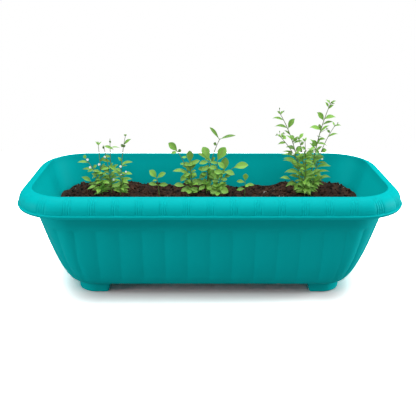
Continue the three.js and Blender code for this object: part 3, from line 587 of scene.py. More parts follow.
@dataclass(frozen=True)
class LeafTissue:
    """Leaf blades. The tint holds freshness, depth of shade and whether the point is on the underside.

    The texture place runs along the blade and across it, so the midrib and the side veins follow the leaf.
    """

    name: str
    fresh: tuple[float, float, float]
    deep: tuple[float, float, float]
    underside: tuple[float, float, float]
    rib: tuple[float, float, float]
    rib_width: float = 0.22
    veins: float = 9.0
    vein_slant: float = 0.35
    vein_start: float = 0.82
    vein_strength: float = 0.55
    mottle: float = 0.5
    roughness: float = 0.5
    grain: Grain = Grain(coarse=260.0, fine=1500.0, balance=0.4, height=0.0002, strength=0.5)

    def build(self) -> bpy.types.Material:
        """Makes the material.

        Formula: the midrib fades out at its share of the half width. The side veins are the crests of a sine
        of the place along the blade, which falls back with the distance from the midrib.

        Returns:
            The material.
        """
        material, tree, shader = new_material(self.name)
        mask = self.grain.place(tree, shader)
        parts = tree.tint()
        place = tree.node("ShaderNodeSeparateXYZ", Vector=tree.node("ShaderNodeTexCoord").outputs["UV"])
        shade = tree.mottled(parts.outputs[1], mask, self.mottle)
        blade = tree.blend(shade, rgba(self.fresh), rgba(self.deep))
        off_rib = tree.maths("ABSOLUTE", place.outputs[1])
        rib = tree.ramp(off_rib, [(0.0, 1.0), (self.rib_width, 0.0)])
        slant = tree.maths("SUBTRACT", place.outputs[0], tree.maths("MULTIPLY", off_rib, self.vein_slant))
        wave = tree.maths("SINE", tree.maths("MULTIPLY", slant, self.veins * math.tau))
        vein = tree.ramp(wave, [(self.vein_start, 0.0), (1.0, self.vein_strength)])
        lines = tree.maths("MAXIMUM", rib, vein)
        faced = tree.blend(lines, blade, rgba(self.rib))
        both = tree.blend(parts.outputs[2], faced, rgba(self.underside))
        tree.feed(shader.inputs["Base Color"], both)
        shader.inputs["Roughness"].default_value = self.roughness
        return material


@dataclass(frozen=True)
class PlainGrowth:
    """Stems, stalks and petals: one colour that the tint's second number deepens towards another."""

    name: str
    light: tuple[float, float, float]
    dark: tuple[float, float, float]
    roughness: float
    mottle: float = 0.6
    grain: Grain = Grain(coarse=220.0, fine=1400.0, balance=0.5, height=0.0002, strength=0.4)

    def build(self) -> bpy.types.Material:
        """Makes the material."""
        material, tree, shader = new_material(self.name)
        mask = self.grain.place(tree, shader)
        parts = tree.tint()
        share = tree.mottled(parts.outputs[1], mask, self.mottle)
        tree.feed(shader.inputs["Base Color"], tree.blend(share, rgba(self.light), rgba(self.dark)))
        shader.inputs["Roughness"].default_value = self.roughness
        return material


# Trough


@dataclass(frozen=True)
class Level:
    """A rounded rectangle at one height."""

    z: float
    half_length: float
    half_width: float
    corner: float
    scale: float = 1.0

    def scaled(self, share: float) -> "Level":
        """The level drawn in to a share of its size."""
        return Level(self.z, self.half_length * share, self.half_width * share, self.corner * share, share)


@dataclass
class TroughForm:
    """Sizes of the trough, and the plan and section curves that every surface of it follows."""

    length: float
    width: float
    height: float
    wall: float = 2.5 * MM
    rim_width: float = 24 * MM
    rim_corner: float = 84 * MM
    roll_height: float = 23 * MM
    ledge: float = 1.4 * MM
    roll_tuck: float = 1.6 * MM
    tuck_start: float = 45.0
    flange_height: float = 5 * MM
    rim_root: float = 6 * MM
    end_draft: float = 33 * MM
    side_draft: float = 18 * MM
    belly: float = 23 * MM
    base_round: float = 5 * MM
    base_corner: float = 44 * MM
    foot_height: float = 17.5 * MM
    collar: float = 32 * MM
    pitch: float = 34.7 * MM
    corner_pitches: int = 5
    ease_limit: float = 0.35
    flute_step: float = 0.35 * MM
    flute_depth: float = 2.45 * MM
    flute_fade: float = 24 * MM

    def __post_init__(self) -> None:
        """Works out the heights, and how many flutes stand on the sides and the ends."""
        self.outer_face = self.rim_width - self.wall
        self.wall_top = self.height - self.rim_root
        self.flange_top = self.height - self.roll_height
        self.flute_top = self.flange_top - self.flange_height - self.collar
        self.floor_top = self.foot_height + self.wall
        base = self.wall_level(self.foot_height)
        self.side_pitches = 2 * math.floor((base.half_length - base.corner) / self.pitch)
        self.end_pitches = max(1, math.floor(2 * (base.half_width - base.corner) / self.pitch))
        self.side_zone = self.side_pitches / 2 * self.pitch
        self.end_zone = min(self.end_pitches / 2 * self.pitch, base.half_width - base.corner)
        self.per_quarter = self.side_pitches / 2 + self.corner_pitches + self.end_pitches / 2
        self.turn = 4 * self.per_quarter

    def wall_level(self, z: float, inset: float = 0.0) -> Level:
        """Plan of the outer wall at a height, drawn in by an inset.

        Formula: the straight draft grows with the drop below the wall's top. The belly adds a quarter of an
        ellipse, 1 - sqrt(1 - drop^2), and the rounded base edge a quarter of a circle of its own.

        Args:
            z: Height above the ground.
            inset: How far the plan is drawn in.

        Returns:
            The plan.
        """
        drop = min(max((self.wall_top - z) / (self.wall_top - self.foot_height), 0.0), 1.0)
        low = min(max((self.foot_height + self.base_round - z) / self.base_round, 0.0), 1.0)
        tuck = self.base_round * (1 - math.sqrt(1 - low * low))
        edge = self.outer_face + inset + tuck + self.belly * (1 - math.sqrt(1 - drop * drop))
        top_corner = self.rim_corner - self.outer_face
        corner = top_corner + (self.base_corner - top_corner) * drop - inset - tuck
        half_length = self.length / 2 - edge - self.end_draft * drop
        return Level(z, half_length, self.width / 2 - edge - self.side_draft * drop, corner)

    def rim_level(self, z: float, inset: float) -> Level:
        """Plan of the rim at a height, drawn in from its outermost edge."""
        return Level(z, self.length / 2 - inset, self.width / 2 - inset, self.rim_corner - inset)

    def roll_level(self, degrees: float, thickness: float = 0.0) -> Level:
        """Plan of the roll at an angle from its crest.

        Formula: a quarter of an ellipse, less the tuck times the square of the share of the way that the
        angle has come from the tuck's start to the ledge.

        Args:
            degrees: Angle from the crest.
            thickness: How far the plan lies inside the roll's outer face.

        Returns:
            The plan.
        """
        angle = math.radians(degrees)
        past = max(0.0, (degrees - self.tuck_start) / (90 - self.tuck_start))
        reach = (self.rim_width - self.ledge - thickness) * math.sin(angle) - self.roll_tuck * past ** 2
        z = self.flange_top + (self.roll_height - thickness) * math.cos(angle)
        return self.rim_level(z, self.rim_width - reach)

    def inner_level(self, z: float, gap: float = 0.0) -> Level:
        """Plan of the smooth inner wall at a height, thicker where the flutes are."""
        share = min(max((self.wall_top - z) / (self.wall_top - self.flute_top), 0.0), 1.0)
        return self.wall_level(z, self.wall + (self.flute_step + self.flute_depth) * share + gap)

    def _corner_path(self, level: Level) -> tuple[float, float, float]:
        """Rest of the long side, length of the arc and length of the whole stretch round a corner."""
        side = level.half_length - level.corner - self.side_zone * level.scale
        arc = level.corner * math.pi / 2
        return side, arc, side + arc + level.half_width - level.corner - self.end_zone * level.scale

    def ring(self, level: Level, stations: np.ndarray, inset: np.ndarray | float = 0.0) -> np.ndarray:
        """Points of a level at stations that count flutes anticlockwise from the middle of the back wall.

        Formula: a station is folded into one quarter of the plan. On the long side x is the station times
        the pitch, on the end y runs evenly, and between them the station runs along the rest of the side, the
        arc and the rest of the end, with a sine that eases it towards the pitch at its start and end. The
        inset moves the point inwards square to the outline.

        Args:
            level: Plan at one height.
            stations: Station of each point.
            inset: How far each point is drawn in.

        Returns:
            One row of coordinates per point.
        """
        wrapped = np.mod(stations, self.turn)
        quarter = np.floor(wrapped / self.per_quarter).astype(int)
        part = wrapped - quarter * self.per_quarter
        part = np.where(quarter % 2 == 0, part, self.per_quarter - part)
        half_side, half_end = self.side_pitches / 2, self.end_pitches / 2
        side, arc, path = self._corner_path(level)
        pitch = self.pitch * level.scale
        share = (part - half_side) / self.corner_pitches
        ease = np.clip(pitch * self.corner_pitches / path - 1, -self.ease_limit, self.ease_limit)
        along = path * (share + ease * np.sin(math.tau * share) / math.tau)
        centre_x, centre_y = level.half_length - level.corner, level.half_width - level.corner
        turn = np.clip(math.pi / 2 - (along - side) / level.corner, 0, math.pi / 2)
        from_end = self.per_quarter - part
        zones = [part <= half_side, from_end <= half_end, along < side, along < side + arc]
        flat_x, flat_y = np.full_like(part, level.half_length), np.full_like(part, level.half_width)
        past_side = self.side_zone * level.scale + along
        end_y = from_end / half_end * self.end_zone * level.scale
        arc_x, arc_y = centre_x + level.corner * np.cos(turn), centre_y + level.corner * np.sin(turn)
        x = np.select(zones, [part * pitch, flat_x, past_side, arc_x], flat_x)
        y = np.select(zones, [flat_y, end_y, flat_y, arc_y], centre_y - (along - side - arc))
        turn = np.where(zones[0], math.pi / 2, np.where(zones[1], 0.0, turn))
        left = np.where(quarter < 2, -1, 1)
        back = np.where((quarter == 0) | (quarter == 3), 1, -1)
        x, y = left * (x - inset * np.cos(turn)), back * (y - inset * np.sin(turn))
        return np.column_stack([x, y, np.full_like(x, level.z)])


@dataclass
class Trough:
    """The moulded trough without its feet: fluted wall, rolled rim with groups of fine grooves, and floor.

    Angles on the roll are degrees from its crest.
    """

    form: TroughForm
    grooves: int = 4
    groove_pitch: float = 3.3 * MM
    groove_depth: float = 0.9 * MM
    samples_per_groove: int = 8
    gap_samples: int = 5
    flute_samples: int = 16
    plain_samples: int = 8
    wall_rows: int = 34
    shoulder_rows: int = 6
    collar_rows: int = 11
    edge_rows: int = 5
    crest_rows: int = 6
    inner_rows: int = 16
    shoulder: float = 6 * MM
    valley_depth: float = 1.6 * MM
    edge_round: float = 0.5 * MM
    ledge_round: float = 1 * MM
    flange_lean: float = 1.4 * MM
    crest_round: float = 1.2 * MM
    inner_foot: float = 4 * MM
    lobe_power: float = 2.2
    under_angles: tuple[int, ...] = (18, 27, 36, 45, 54, 63, 72, 81, 90)
    roll_angles: tuple[int, ...] = (90, 88, 85, 80, 73, 66, 58, 50, 42, 34, 26, 18, 12, 8)
    crest_angle: int = 6
    groove_end: float = 7.0
    crest_fade: float = 10.0
    ledge_fade: float = 4.0

    def __post_init__(self) -> None:
        """Works out the three sets of stations."""
        turn = int(self.form.turn)
        self.plain = np.arange(turn * self.plain_samples) / self.plain_samples
        self.fluted = np.arange(turn * self.flute_samples) / self.flute_samples
        self.half_group = self.grooves * self.groove_pitch / self.form.pitch / 2
        cuts = np.linspace(-self.half_group, self.half_group, self.grooves * self.samples_per_groove + 1)
        rest = np.linspace(self.half_group, 1 - self.half_group, self.gap_samples + 2)[1:-1]
        self.grooved = (np.arange(turn)[:, None] + np.concatenate([cuts, rest])[None]).ravel()

    def groove_relief(self, strength: float) -> np.ndarray:
        """Depth of the grooves at the grooved stations.

        Formula: each groove is one period of a raised cosine, and a group stands over each flute valley.

        Args:
            strength: Share of the full depth.

        Returns:
            The depth at each station.
        """
        centred = np.mod(self.grooved + 0.5, 1) - 0.5
        along = (centred + self.half_group) / (2 * self.half_group) * self.grooves
        wave = 0.5 - 0.5 * np.cos(math.tau * along)
        return np.where(np.abs(centred) < self.half_group, wave, 0.0) * self.groove_depth * strength

    def flute_relief(self, z: float) -> np.ndarray:
        """Depth of the flutes at the fluted stations.

        Formula: a step, and a valley that deepens with the distance from the lobe's middle to a power. It
        starts over a short shoulder at the top and fades in above the floor.

        Args:
            z: Height above the ground.

        Returns:
            The depth at each station.
        """
        across = np.abs(2 * (self.fluted - np.floor(self.fluted)) - 1)
        rise = min(1.0, (z - self.form.foot_height) / self.form.flute_fade)
        start = min(1.0, max(0.0, (self.form.flute_top + self.shoulder - z) / self.shoulder))
        ease = start * start * (3 - 2 * start) * rise
        return ease * (self.form.flute_step + self.valley_depth * across ** self.lobe_power)

    def _plain_rings(self, surface: RingSurface, levels: list[Level]) -> None:
        """Adds rings without flutes or grooves."""
        for level in levels:
            surface.add(self.plain, self.form.ring(level, self.plain))

    def _outer_rings(self, surface: RingSurface) -> None:
        """Adds the rings of the underside, the fluted wall and the plain collar."""
        form = self.form
        self._plain_rings(surface, [form.wall_level(form.foot_height)])
        rise = np.sin(np.linspace(0, math.pi / 2, self.wall_rows))[::-1]
        heights = form.flute_top - (form.flute_top - form.foot_height) * rise
        shoulder = form.flute_top + np.linspace(0, self.shoulder, self.shoulder_rows + 1)[1:]
        for z in [*heights, *shoulder]:
            surface.add(self.fluted, form.ring(form.wall_level(z), self.fluted, self.flute_relief(z)))
        collar = np.linspace(form.flute_top + self.shoulder, form.wall_top, self.collar_rows + 1)[1:]
        self._plain_rings(surface, [form.wall_level(z) for z in collar])

    def _rim_rings(self, surface: RingSurface) -> None:
        """Adds the rings of the roll's underside, the flange, the ledge, the grooved roll and the crest."""
        form, edge = self.form, self.edge_round
        self._plain_rings(surface, [form.roll_level(degrees, form.wall) for degrees in self.under_angles])
        low = form.flange_top - form.flange_height
        flange = [(form.flange_top - form.wall, form.wall), (low + edge, form.wall)]
        quarter = np.linspace(0, math.pi / 2, self.edge_rows)
        early, late = 1 - np.cos(quarter), 1 - np.sin(quarter)
        flange += zip(low + edge * late, form.wall - edge * early)
        flange += zip(low + edge * early, self.flange_lean + edge * late)
        flange += zip(form.flange_top - self.ledge_round * late, self.ledge_round * early)
        flange += [(form.flange_top, form.ledge + form.roll_tuck - edge)]
        self._plain_rings(surface, [form.rim_level(z, inset) for z, inset in flange])
        for degrees in self.roll_angles:
            by_crest = (degrees - self.groove_end) / self.crest_fade
            by_ledge = (90 - degrees) / self.ledge_fade
            strength = min(1.0, by_crest, by_ledge)
            points = form.ring(form.roll_level(degrees), self.grooved, self.groove_relief(strength))
            surface.add(self.grooved, points)
        self._plain_rings(surface, [form.roll_level(self.crest_angle)])
        quarter = np.linspace(0, math.pi / 2, self.crest_rows)
        crest = zip(form.height - self.crest_round * (1 - np.cos(quarter)),
                    form.rim_width - self.crest_round + self.crest_round * np.sin(quarter))
        self._plain_rings(surface, [form.rim_level(z, inset) for z, inset in crest])

    def shell(self, finish: bpy.types.Material) -> bpy.types.Object:
        """Makes the shell as one closed surface.

        Args:
            finish: Material of the plastic.

        Returns:
            The piece.
        """
        form = self.form
        surface = RingSurface(form.turn)
        self._outer_rings(surface)
        self._rim_rings(surface)
        inside = np.linspace(form.wall_top, form.floor_top + self.inner_foot, self.inner_rows)
        self._plain_rings(surface, [form.inner_level(z) for z in inside])
        self._plain_rings(surface, [form.inner_level(form.floor_top, form.wall)])
        skin = Skin()
        surface.fill(skin, np.array([0, 0, form.foot_height]), np.array([0, 0, form.floor_top]))
        return skin.make("trough_shell", [finish])


@dataclass
class Feet:
    """Four corner feet that carry on the corners of the wall down to rounded soles."""

    form: TroughForm
    length: float = 51 * MM
    breadth: float = 46 * MM
    draft: float = 2.5 * MM
    end_slant: float = 4 * MM
    sole_round: float = 2.4 * MM
    sole_corner: float = 30 * MM
    inner_corner: float = 4 * MM
    least_corner: float = 0.5 * MM
    overlap: float = 1.5 * MM
    arc_samples: int = 10
    draft_rows: int = 7
    sole_rows: int = 6

    def outline(self, z: float, inset: float) -> np.ndarray:
        """Outline of the foot in the quarter where x and y are positive, at one height.

        Formula: four arcs, one round each corner of a rectangle. The outer corner's radius runs from the
        wall's at the top to the sole's at the ground.

        Args:
            z: Height above the ground.
            inset: How far the outline is drawn in.

        Returns:
            One row of coordinates per point.
        """
        base = self.form.wall_level(self.form.foot_height)
        down = max(0.0, 1 - z / self.form.foot_height)
        shrink = self.draft * down + inset
        outer_x, outer_y = base.half_length - shrink, base.half_width - shrink
        slant = self.end_slant * min(z / self.form.foot_height, 1.0)
        inner_x = base.half_length - self.draft - self.length - slant + inset
        inner_y = base.half_width - self.draft - self.breadth - slant + inset
        outer = base.corner + (self.sole_corner - base.corner) * down - inset
        small = max(self.inner_corner - inset, self.least_corner)
        corners = [(outer_x, outer_y, outer, (-1, -1)), (inner_x, outer_y, small, (1, -1)),
                   (inner_x, inner_y, small, (1, 1)), (outer_x, inner_y, small, (-1, 1))]
        arcs = []
        for quarter, (x, y, radius, inwards) in enumerate(corners):
            angles = (quarter + np.linspace(0, 1, self.arc_samples)) * math.pi / 2
            centre = np.array([x, y]) + radius * np.array(inwards)
            arcs.append(centre + radius * np.column_stack([np.cos(angles), np.sin(angles)]))
        flat = np.concatenate(arcs)
        return np.column_stack([flat, np.full(len(flat), z)])

    def build(self, finish: bpy.types.Material) -> list[bpy.types.Object]:
        """Makes the four feet.

        Args:
            finish: Material of the plastic.

        Returns:
            The pieces.
        """
        top = self.form.foot_height
        straight = np.linspace(top, self.sole_round, self.draft_rows)
        rows = [(top + self.overlap, 0.0), *((z, 0.0) for z in straight)]
        for angle in np.linspace(0, math.pi / 2, self.sole_rows + 1)[1:]:
            rows.append((self.sole_round * (1 - math.sin(angle)), self.sole_round * (1 - math.cos(angle))))
        quarter = np.stack([self.outline(z, inset) for z, inset in rows])
        pieces = []
        for name, sign_x, sign_y in (("back_right", 1, 1), ("back_left", -1, 1), ("front_left", -1, -1),
                                     ("front_right", 1, -1)):
            points = quarter * np.array([sign_x, sign_y, 1])
            if sign_x * sign_y < 0:
                points = points[:, ::-1]
            sides = points.shape[1]
            surface = RingSurface(sides)
            for row in points[::-1]:
                surface.add(np.arange(sides), row)
            skin = Skin()
            surface.fill(skin, points[-1].mean(axis=0), points[0].mean(axis=0))
            pieces.append(skin.make(f"foot_{name}", [finish]))
        return pieces


# Soil


@dataclass
class Soil:
    """The bed of potting mix: an uneven surface with loose crumbs of peat, bark and a little perlite.

    A mound is its place, as shares of the half size of the bed, its height and its spread. A layer of noise
    is its height, its cell and its seed. Their heights and sizes, and the crumbs', are millimetres.
    """

    form: TroughForm
    level: float = 121 * MM
    gap: float = 0.5 * MM
    lump: float = 2.6 * MM
    lump_length: float = 56 * MM
    lump_slant: float = 0.4
    mounds: tuple[tuple[float, float, float, float], ...] = (
        (-0.82, 0.88, 9, 40), (-0.5, 0.9, 7, 45), (-0.12, 0.9, 6, 45), (0.58, 0.9, 7, 42),
        (0.84, 0.8, 11, 34), (0.35, -0.47, 4, 60), (-0.42, -0.56, 4, 60),
    )
    noise: tuple[tuple[float, float, int], ...] = ((0.6, 14, 1), (0.7, 6, 2), (0.6, 2.8, 3))
    floor_gap: float = 0.3 * MM
    side_start: float = 6 * MM
    side_end: float = 4 * MM
    side_rows: int = 8
    rings: int = 56
    inmost: float = 0.02
    samples: int = 12
    shade: tuple[float, float] = (0.35, 0.3)
    shade_patch: float = 9 * MM
    shade_seed: int = 5
    crumbs: int = 5200
    crumb_size: tuple[float, float, float] = (0.7, 1.35, 4.4)
    crumb_spread: float = 0.52
    crumb_stretch: tuple[float, float] = (0.6, 1.3)
    crumb_dents: tuple[float, float] = (0.72, 1.2)
    crumb_lift: float = 0.25
    crumb_shade: tuple[float, float] = (1.2, 2.4)
    edge_room: float = 1.3
    perlite: tuple[float, float] = (0.004, 0.09)
    spill: tuple[float, float, float] = (115 * MM, 62 * MM, 17 * MM)
    seed: int = 7

    def __post_init__(self) -> None:
        """Takes the soil's edge from the trough's inside."""
        self.edge = self.form.inner_level(self.level, self.gap)

    def height(self, x: np.ndarray, y: np.ndarray) -> np.ndarray:
        """Height of the bed.

        Formula: the level, plus a bell, exp(-d^2) at d spreads from its middle, for each mound, plus a sine
        wave of lumps, plus the layers of noise.

        Args:
            x: Places along the trough.
            y: Places across it.

        Returns:
            The height at each place.
        """
        z = np.full_like(x, self.level)
        for along, across, tall, spread in self.mounds:
            off_x, off_y = x - along * self.edge.half_length, y - across * self.edge.half_width
            distance = np.hypot(off_x, off_y) / (spread * MM)
            z = z + tall * MM * np.exp(-distance ** 2)
        phase = math.tau / self.lump_length
        z = z + self.lump * np.sin((x + self.lump_slant * y) * phase) * np.cos(y * phase)
        for size, cell, seed in self.noise:
            z = z + size * MM * lattice_noise(x, y, cell * MM, seed)
        return z

    def bed(self, finish: bpy.types.Material) -> bpy.types.Object:
        """Makes the bed as a closed solid.

        Args:
            finish: Material of the soil.

        Returns:
            The piece.
        """
        form = self.form
        stations = np.arange(int(form.turn) * self.samples) / self.samples
        surface = RingSurface(form.turn)
        bottom = form.floor_top + self.floor_gap
        surface.add(stations, form.ring(form.inner_level(bottom, form.wall + 2 * self.gap), stations))
        for z in np.linspace(bottom + self.side_start, self.level - self.side_end, self.side_rows):
            surface.add(stations, form.ring(form.inner_level(z, self.gap), stations))
        for share in np.linspace(1, self.inmost, self.rings):
            points = form.ring(self.edge.scaled(share), stations)
            points[:, 2] = self.height(points[:, 0], points[:, 1])
            surface.add(stations, points)
        skin = Skin()
        middle = self.height(np.zeros(1), np.zeros(1))[0]
        surface.fill(skin, np.array([0, 0, bottom]), np.array([0, 0, middle]))
        x, y, _ = np.concatenate(skin.points).T
        middling, swing = self.shade
        shade = middling + swing * lattice_noise(x, y, self.shade_patch, self.shade_seed)
        skin.tints = [np.column_stack([shade, np.zeros(len(shade)), np.zeros(len(shade))])]
        return skin.make("soil_bed", [finish])

    def loose_crumbs(self, finish: bpy.types.Material) -> bpy.types.Object:
        """Makes the crumbs.

        Formula: each crumb is an icosahedron whose corners are pushed in and out at random, stretched along
        three axes at random, turned at random and set with its middle a quarter of its size above the bed.
        Perlite is rare, but for one place where more of it lies.

        Args:
            finish: Material of the soil.

        Returns:
            The piece.
        """
        rng = np.random.default_rng(self.seed)
        corners, faces = icosahedron()
        x = rng.uniform(-self.edge.half_length, self.edge.half_length, 2 * self.crumbs)
        y = rng.uniform(-self.edge.half_width, self.edge.half_width, 2 * self.crumbs)
        least, usual, most = self.crumb_size
        size = np.clip(rng.lognormal(math.log(usual), self.crumb_spread, 2 * self.crumbs), least, most) * MM
        inside = self.inside(x, y, size)
        x, y, size = x[inside][:self.crumbs], y[inside][:self.crumbs], size[inside][:self.crumbs]
        count = len(x)
        stretch = rng.uniform(*self.crumb_stretch, (count, 1, 3)) * size[:, None, None]
        lumps = corners[None] * rng.uniform(*self.crumb_dents, (count, len(corners), 1)) * stretch
        turned = lumps @ random_turns(rng, count)
        middles = np.column_stack([x, y, self.height(x, y) + self.crumb_lift * size])
        points = turned + middles[:, None]
        numbers = faces[None] + len(corners) * np.arange(count)[:, None, None]
        shade = rng.beta(*self.crumb_shade, count)
        spill = np.hypot(x - self.spill[0], y - self.spill[1]) / self.spill[2]
        everywhere, spilt = self.perlite
        perlite = (rng.uniform(size=count) < everywhere + spilt * np.exp(-spill ** 2)).astype(float)
        tints = np.repeat(np.column_stack([shade, perlite, np.zeros(count)]), len(corners), axis=0)
        skin = Skin()
        skin.add(points.reshape(-1, 3), [numbers.reshape(-1, 3)], tints=tints)
        return skin.make("soil_crumbs", [finish], smooth=False)

    def inside(self, x: np.ndarray, y: np.ndarray, margin: np.ndarray) -> np.ndarray:
        """Whether places lie inside the soil's edge, by a margin times the room that the edge needs."""
        over_x = np.maximum(np.abs(x) - (self.edge.half_length - self.edge.corner), 0)
        over_y = np.maximum(np.abs(y) - (self.edge.half_width - self.edge.corner), 0)
        return np.hypot(over_x, over_y) < self.edge.corner - self.edge_room * margin


def icosahedron() -> tuple[np.ndarray, np.ndarray]:
    """Corners, at a distance of 1, and faces of an icosahedron.

    Formula: two poles, and two rings of five corners half a step apart at the heights of plus and minus one
    over the root of five.

    Returns:
        One row of coordinates per corner, and one row of three corner numbers per face.
    """
    height, wide = 1 / math.sqrt(5), 2 / math.sqrt(5)
    belts = []
    for start, z in ((0.0, height), (math.pi / 5, -height)):
        turn = math.tau * np.arange(5) / 5 + start
        belts.append(np.column_stack([wide * np.cos(turn), wide * np.sin(turn), np.full(5, z)]))
    corners = np.concatenate([[[0, 0, 1]], *belts, [[0, 0, -1]]])
    upper = 1 + np.arange(5)
    upper_next = np.roll(upper, -1)
    lower, lower_next = upper + 5, upper_next + 5
    top, bottom = np.zeros(5, int), np.full(5, len(corners) - 1)
    faces = [(top, upper, upper_next), (upper, lower, upper_next),
             (upper_next, lower, lower_next), (lower, bottom, lower_next)]
    return corners, np.concatenate([np.column_stack(face) for face in faces])


def random_turns(rng: np.random.Generator, count: int) -> np.ndarray:
    """Random rotation matrices, from quaternions with normal parts.

    Args:
        rng: Source of the random numbers.
        count: Number of matrices.

    Returns:
        The matrices.
    """
    w, x, y, z = rng.normal(size=(count, 4)).T
    size = np.sqrt(w * w + x * x + y * y + z * z)
    w, x, y, z = w / size, x / size, y / size, z / size
    rows = [[1 - 2 * (y * y + z * z), 2 * (x * y - w * z), 2 * (x * z + w * y)],
            [2 * (x * y + w * z), 1 - 2 * (x * x + z * z), 2 * (y * z - w * x)],
            [2 * (x * z - w * y), 2 * (y * z + w * x), 1 - 2 * (x * x + y * y)]]
    return np.moveaxis(np.array(rows), -1, 0)


# Plants


@dataclass(frozen=True)
class LeafForm:
    """Outline of a leaf blade: a stalk, and a sine whose powers place its widest part and round its ends.

    The arch is a share of the length, and the cup of the width. The spread, in millimetres, is added to the
    width of each leaf in the list of plants. In the thicket of a stem the slimness is width over length, the
    top is a share of the stem, and the length has two ends, in millimetres.
    """

    widest: float
    fullness: float
    stalk: float
    stalk_width: float
    arch: float
    cup: float
    slimness: float = 0.0
    thicket_top: float = 0.0
    thicket_length: tuple[float, float] = (0.0, 0.0)
    spread: float = 0.0
    stalk_end: float = 0.6
    tip_width: float = 0.12 * MM

    def width(self, share: np.ndarray, width: np.ndarray) -> np.ndarray:
        """Width of the blade at shares of its length.

        Formula: width times sin(pi t^widest)^fullness, with t from the end of the stalk to the tip, and never
        less than the stalk's width, or the tip's past the stalk's end.

        Args:
            share: Shares of the length, by blade and row.
            width: Greatest width of each blade.

        Returns:
            The width, by blade and row.
        """
        t = np.clip((share - self.stalk) / (1 - self.stalk), 0, 1)
        blade = np.sin(math.pi * t ** self.widest) ** self.fullness * width[:, None]
        stalk = np.where(share < self.stalk_end, self.stalk_width, self.tip_width)
        return np.maximum(blade, stalk)


class Form(Enum):
    """Leaf outlines of the plants."""

    LANCE = LeafForm(widest=0.85, fullness=1.15, stalk=0.05, stalk_width=0.7 * MM, arch=0.17, cup=0.10,
                     slimness=0.28, thicket_top=0.42, thicket_length=(9.5, 17), spread=0.8)
    SPOON = LeafForm(widest=1.12, fullness=0.85, stalk=0.08, stalk_width=0.9 * MM, arch=0.12, cup=0.10,
                     slimness=0.45, thicket_top=0.66, thicket_length=(9, 16), spread=-0.5)
    NARROW = LeafForm(widest=0.85, fullness=1.3, stalk=0.04, stalk_width=0.6 * MM, arch=0.24, cup=0.10,
                      slimness=0.21, thicket_top=0.66, thicket_length=(13, 21), spread=0.6)
    PETAL = LeafForm(widest=1.15, fullness=0.6, stalk=0.0, stalk_width=0.5 * MM, arch=0.05, cup=0.12)


@dataclass(frozen=True)
class Shoot:
    """One stem and what grows on it. Lengths are millimetres and angles are degrees.

    The lean is how far the tip stands from the foot along X and Y. A leaf is: share of the way up, direction
    round the stem from +X, length, width, rise, and its depth of shade from 0 to 1 where it has one. A flower
    or a twig is: share, direction, length of stalk, rise. The thicket is a number of small leaves.
    """

    lean: tuple[float, float]
    height: float
    leaves: tuple[tuple[float, ...], ...] = ()
    flowers: tuple[tuple[float, ...], ...] = ()
    twigs: tuple[tuple[float, ...], ...] = ()
    thicket: int = 0


@dataclass(frozen=True)
class PlantSpec:
    """One plant: its CAD node, place as shares of the soil's half size, kind of leaf, and shoots.

    The stem width is millimetres.
    """

    node: str
    at: tuple[float, float]
    form: Form
    stem_width: float
    shoots: tuple[Shoot, ...]


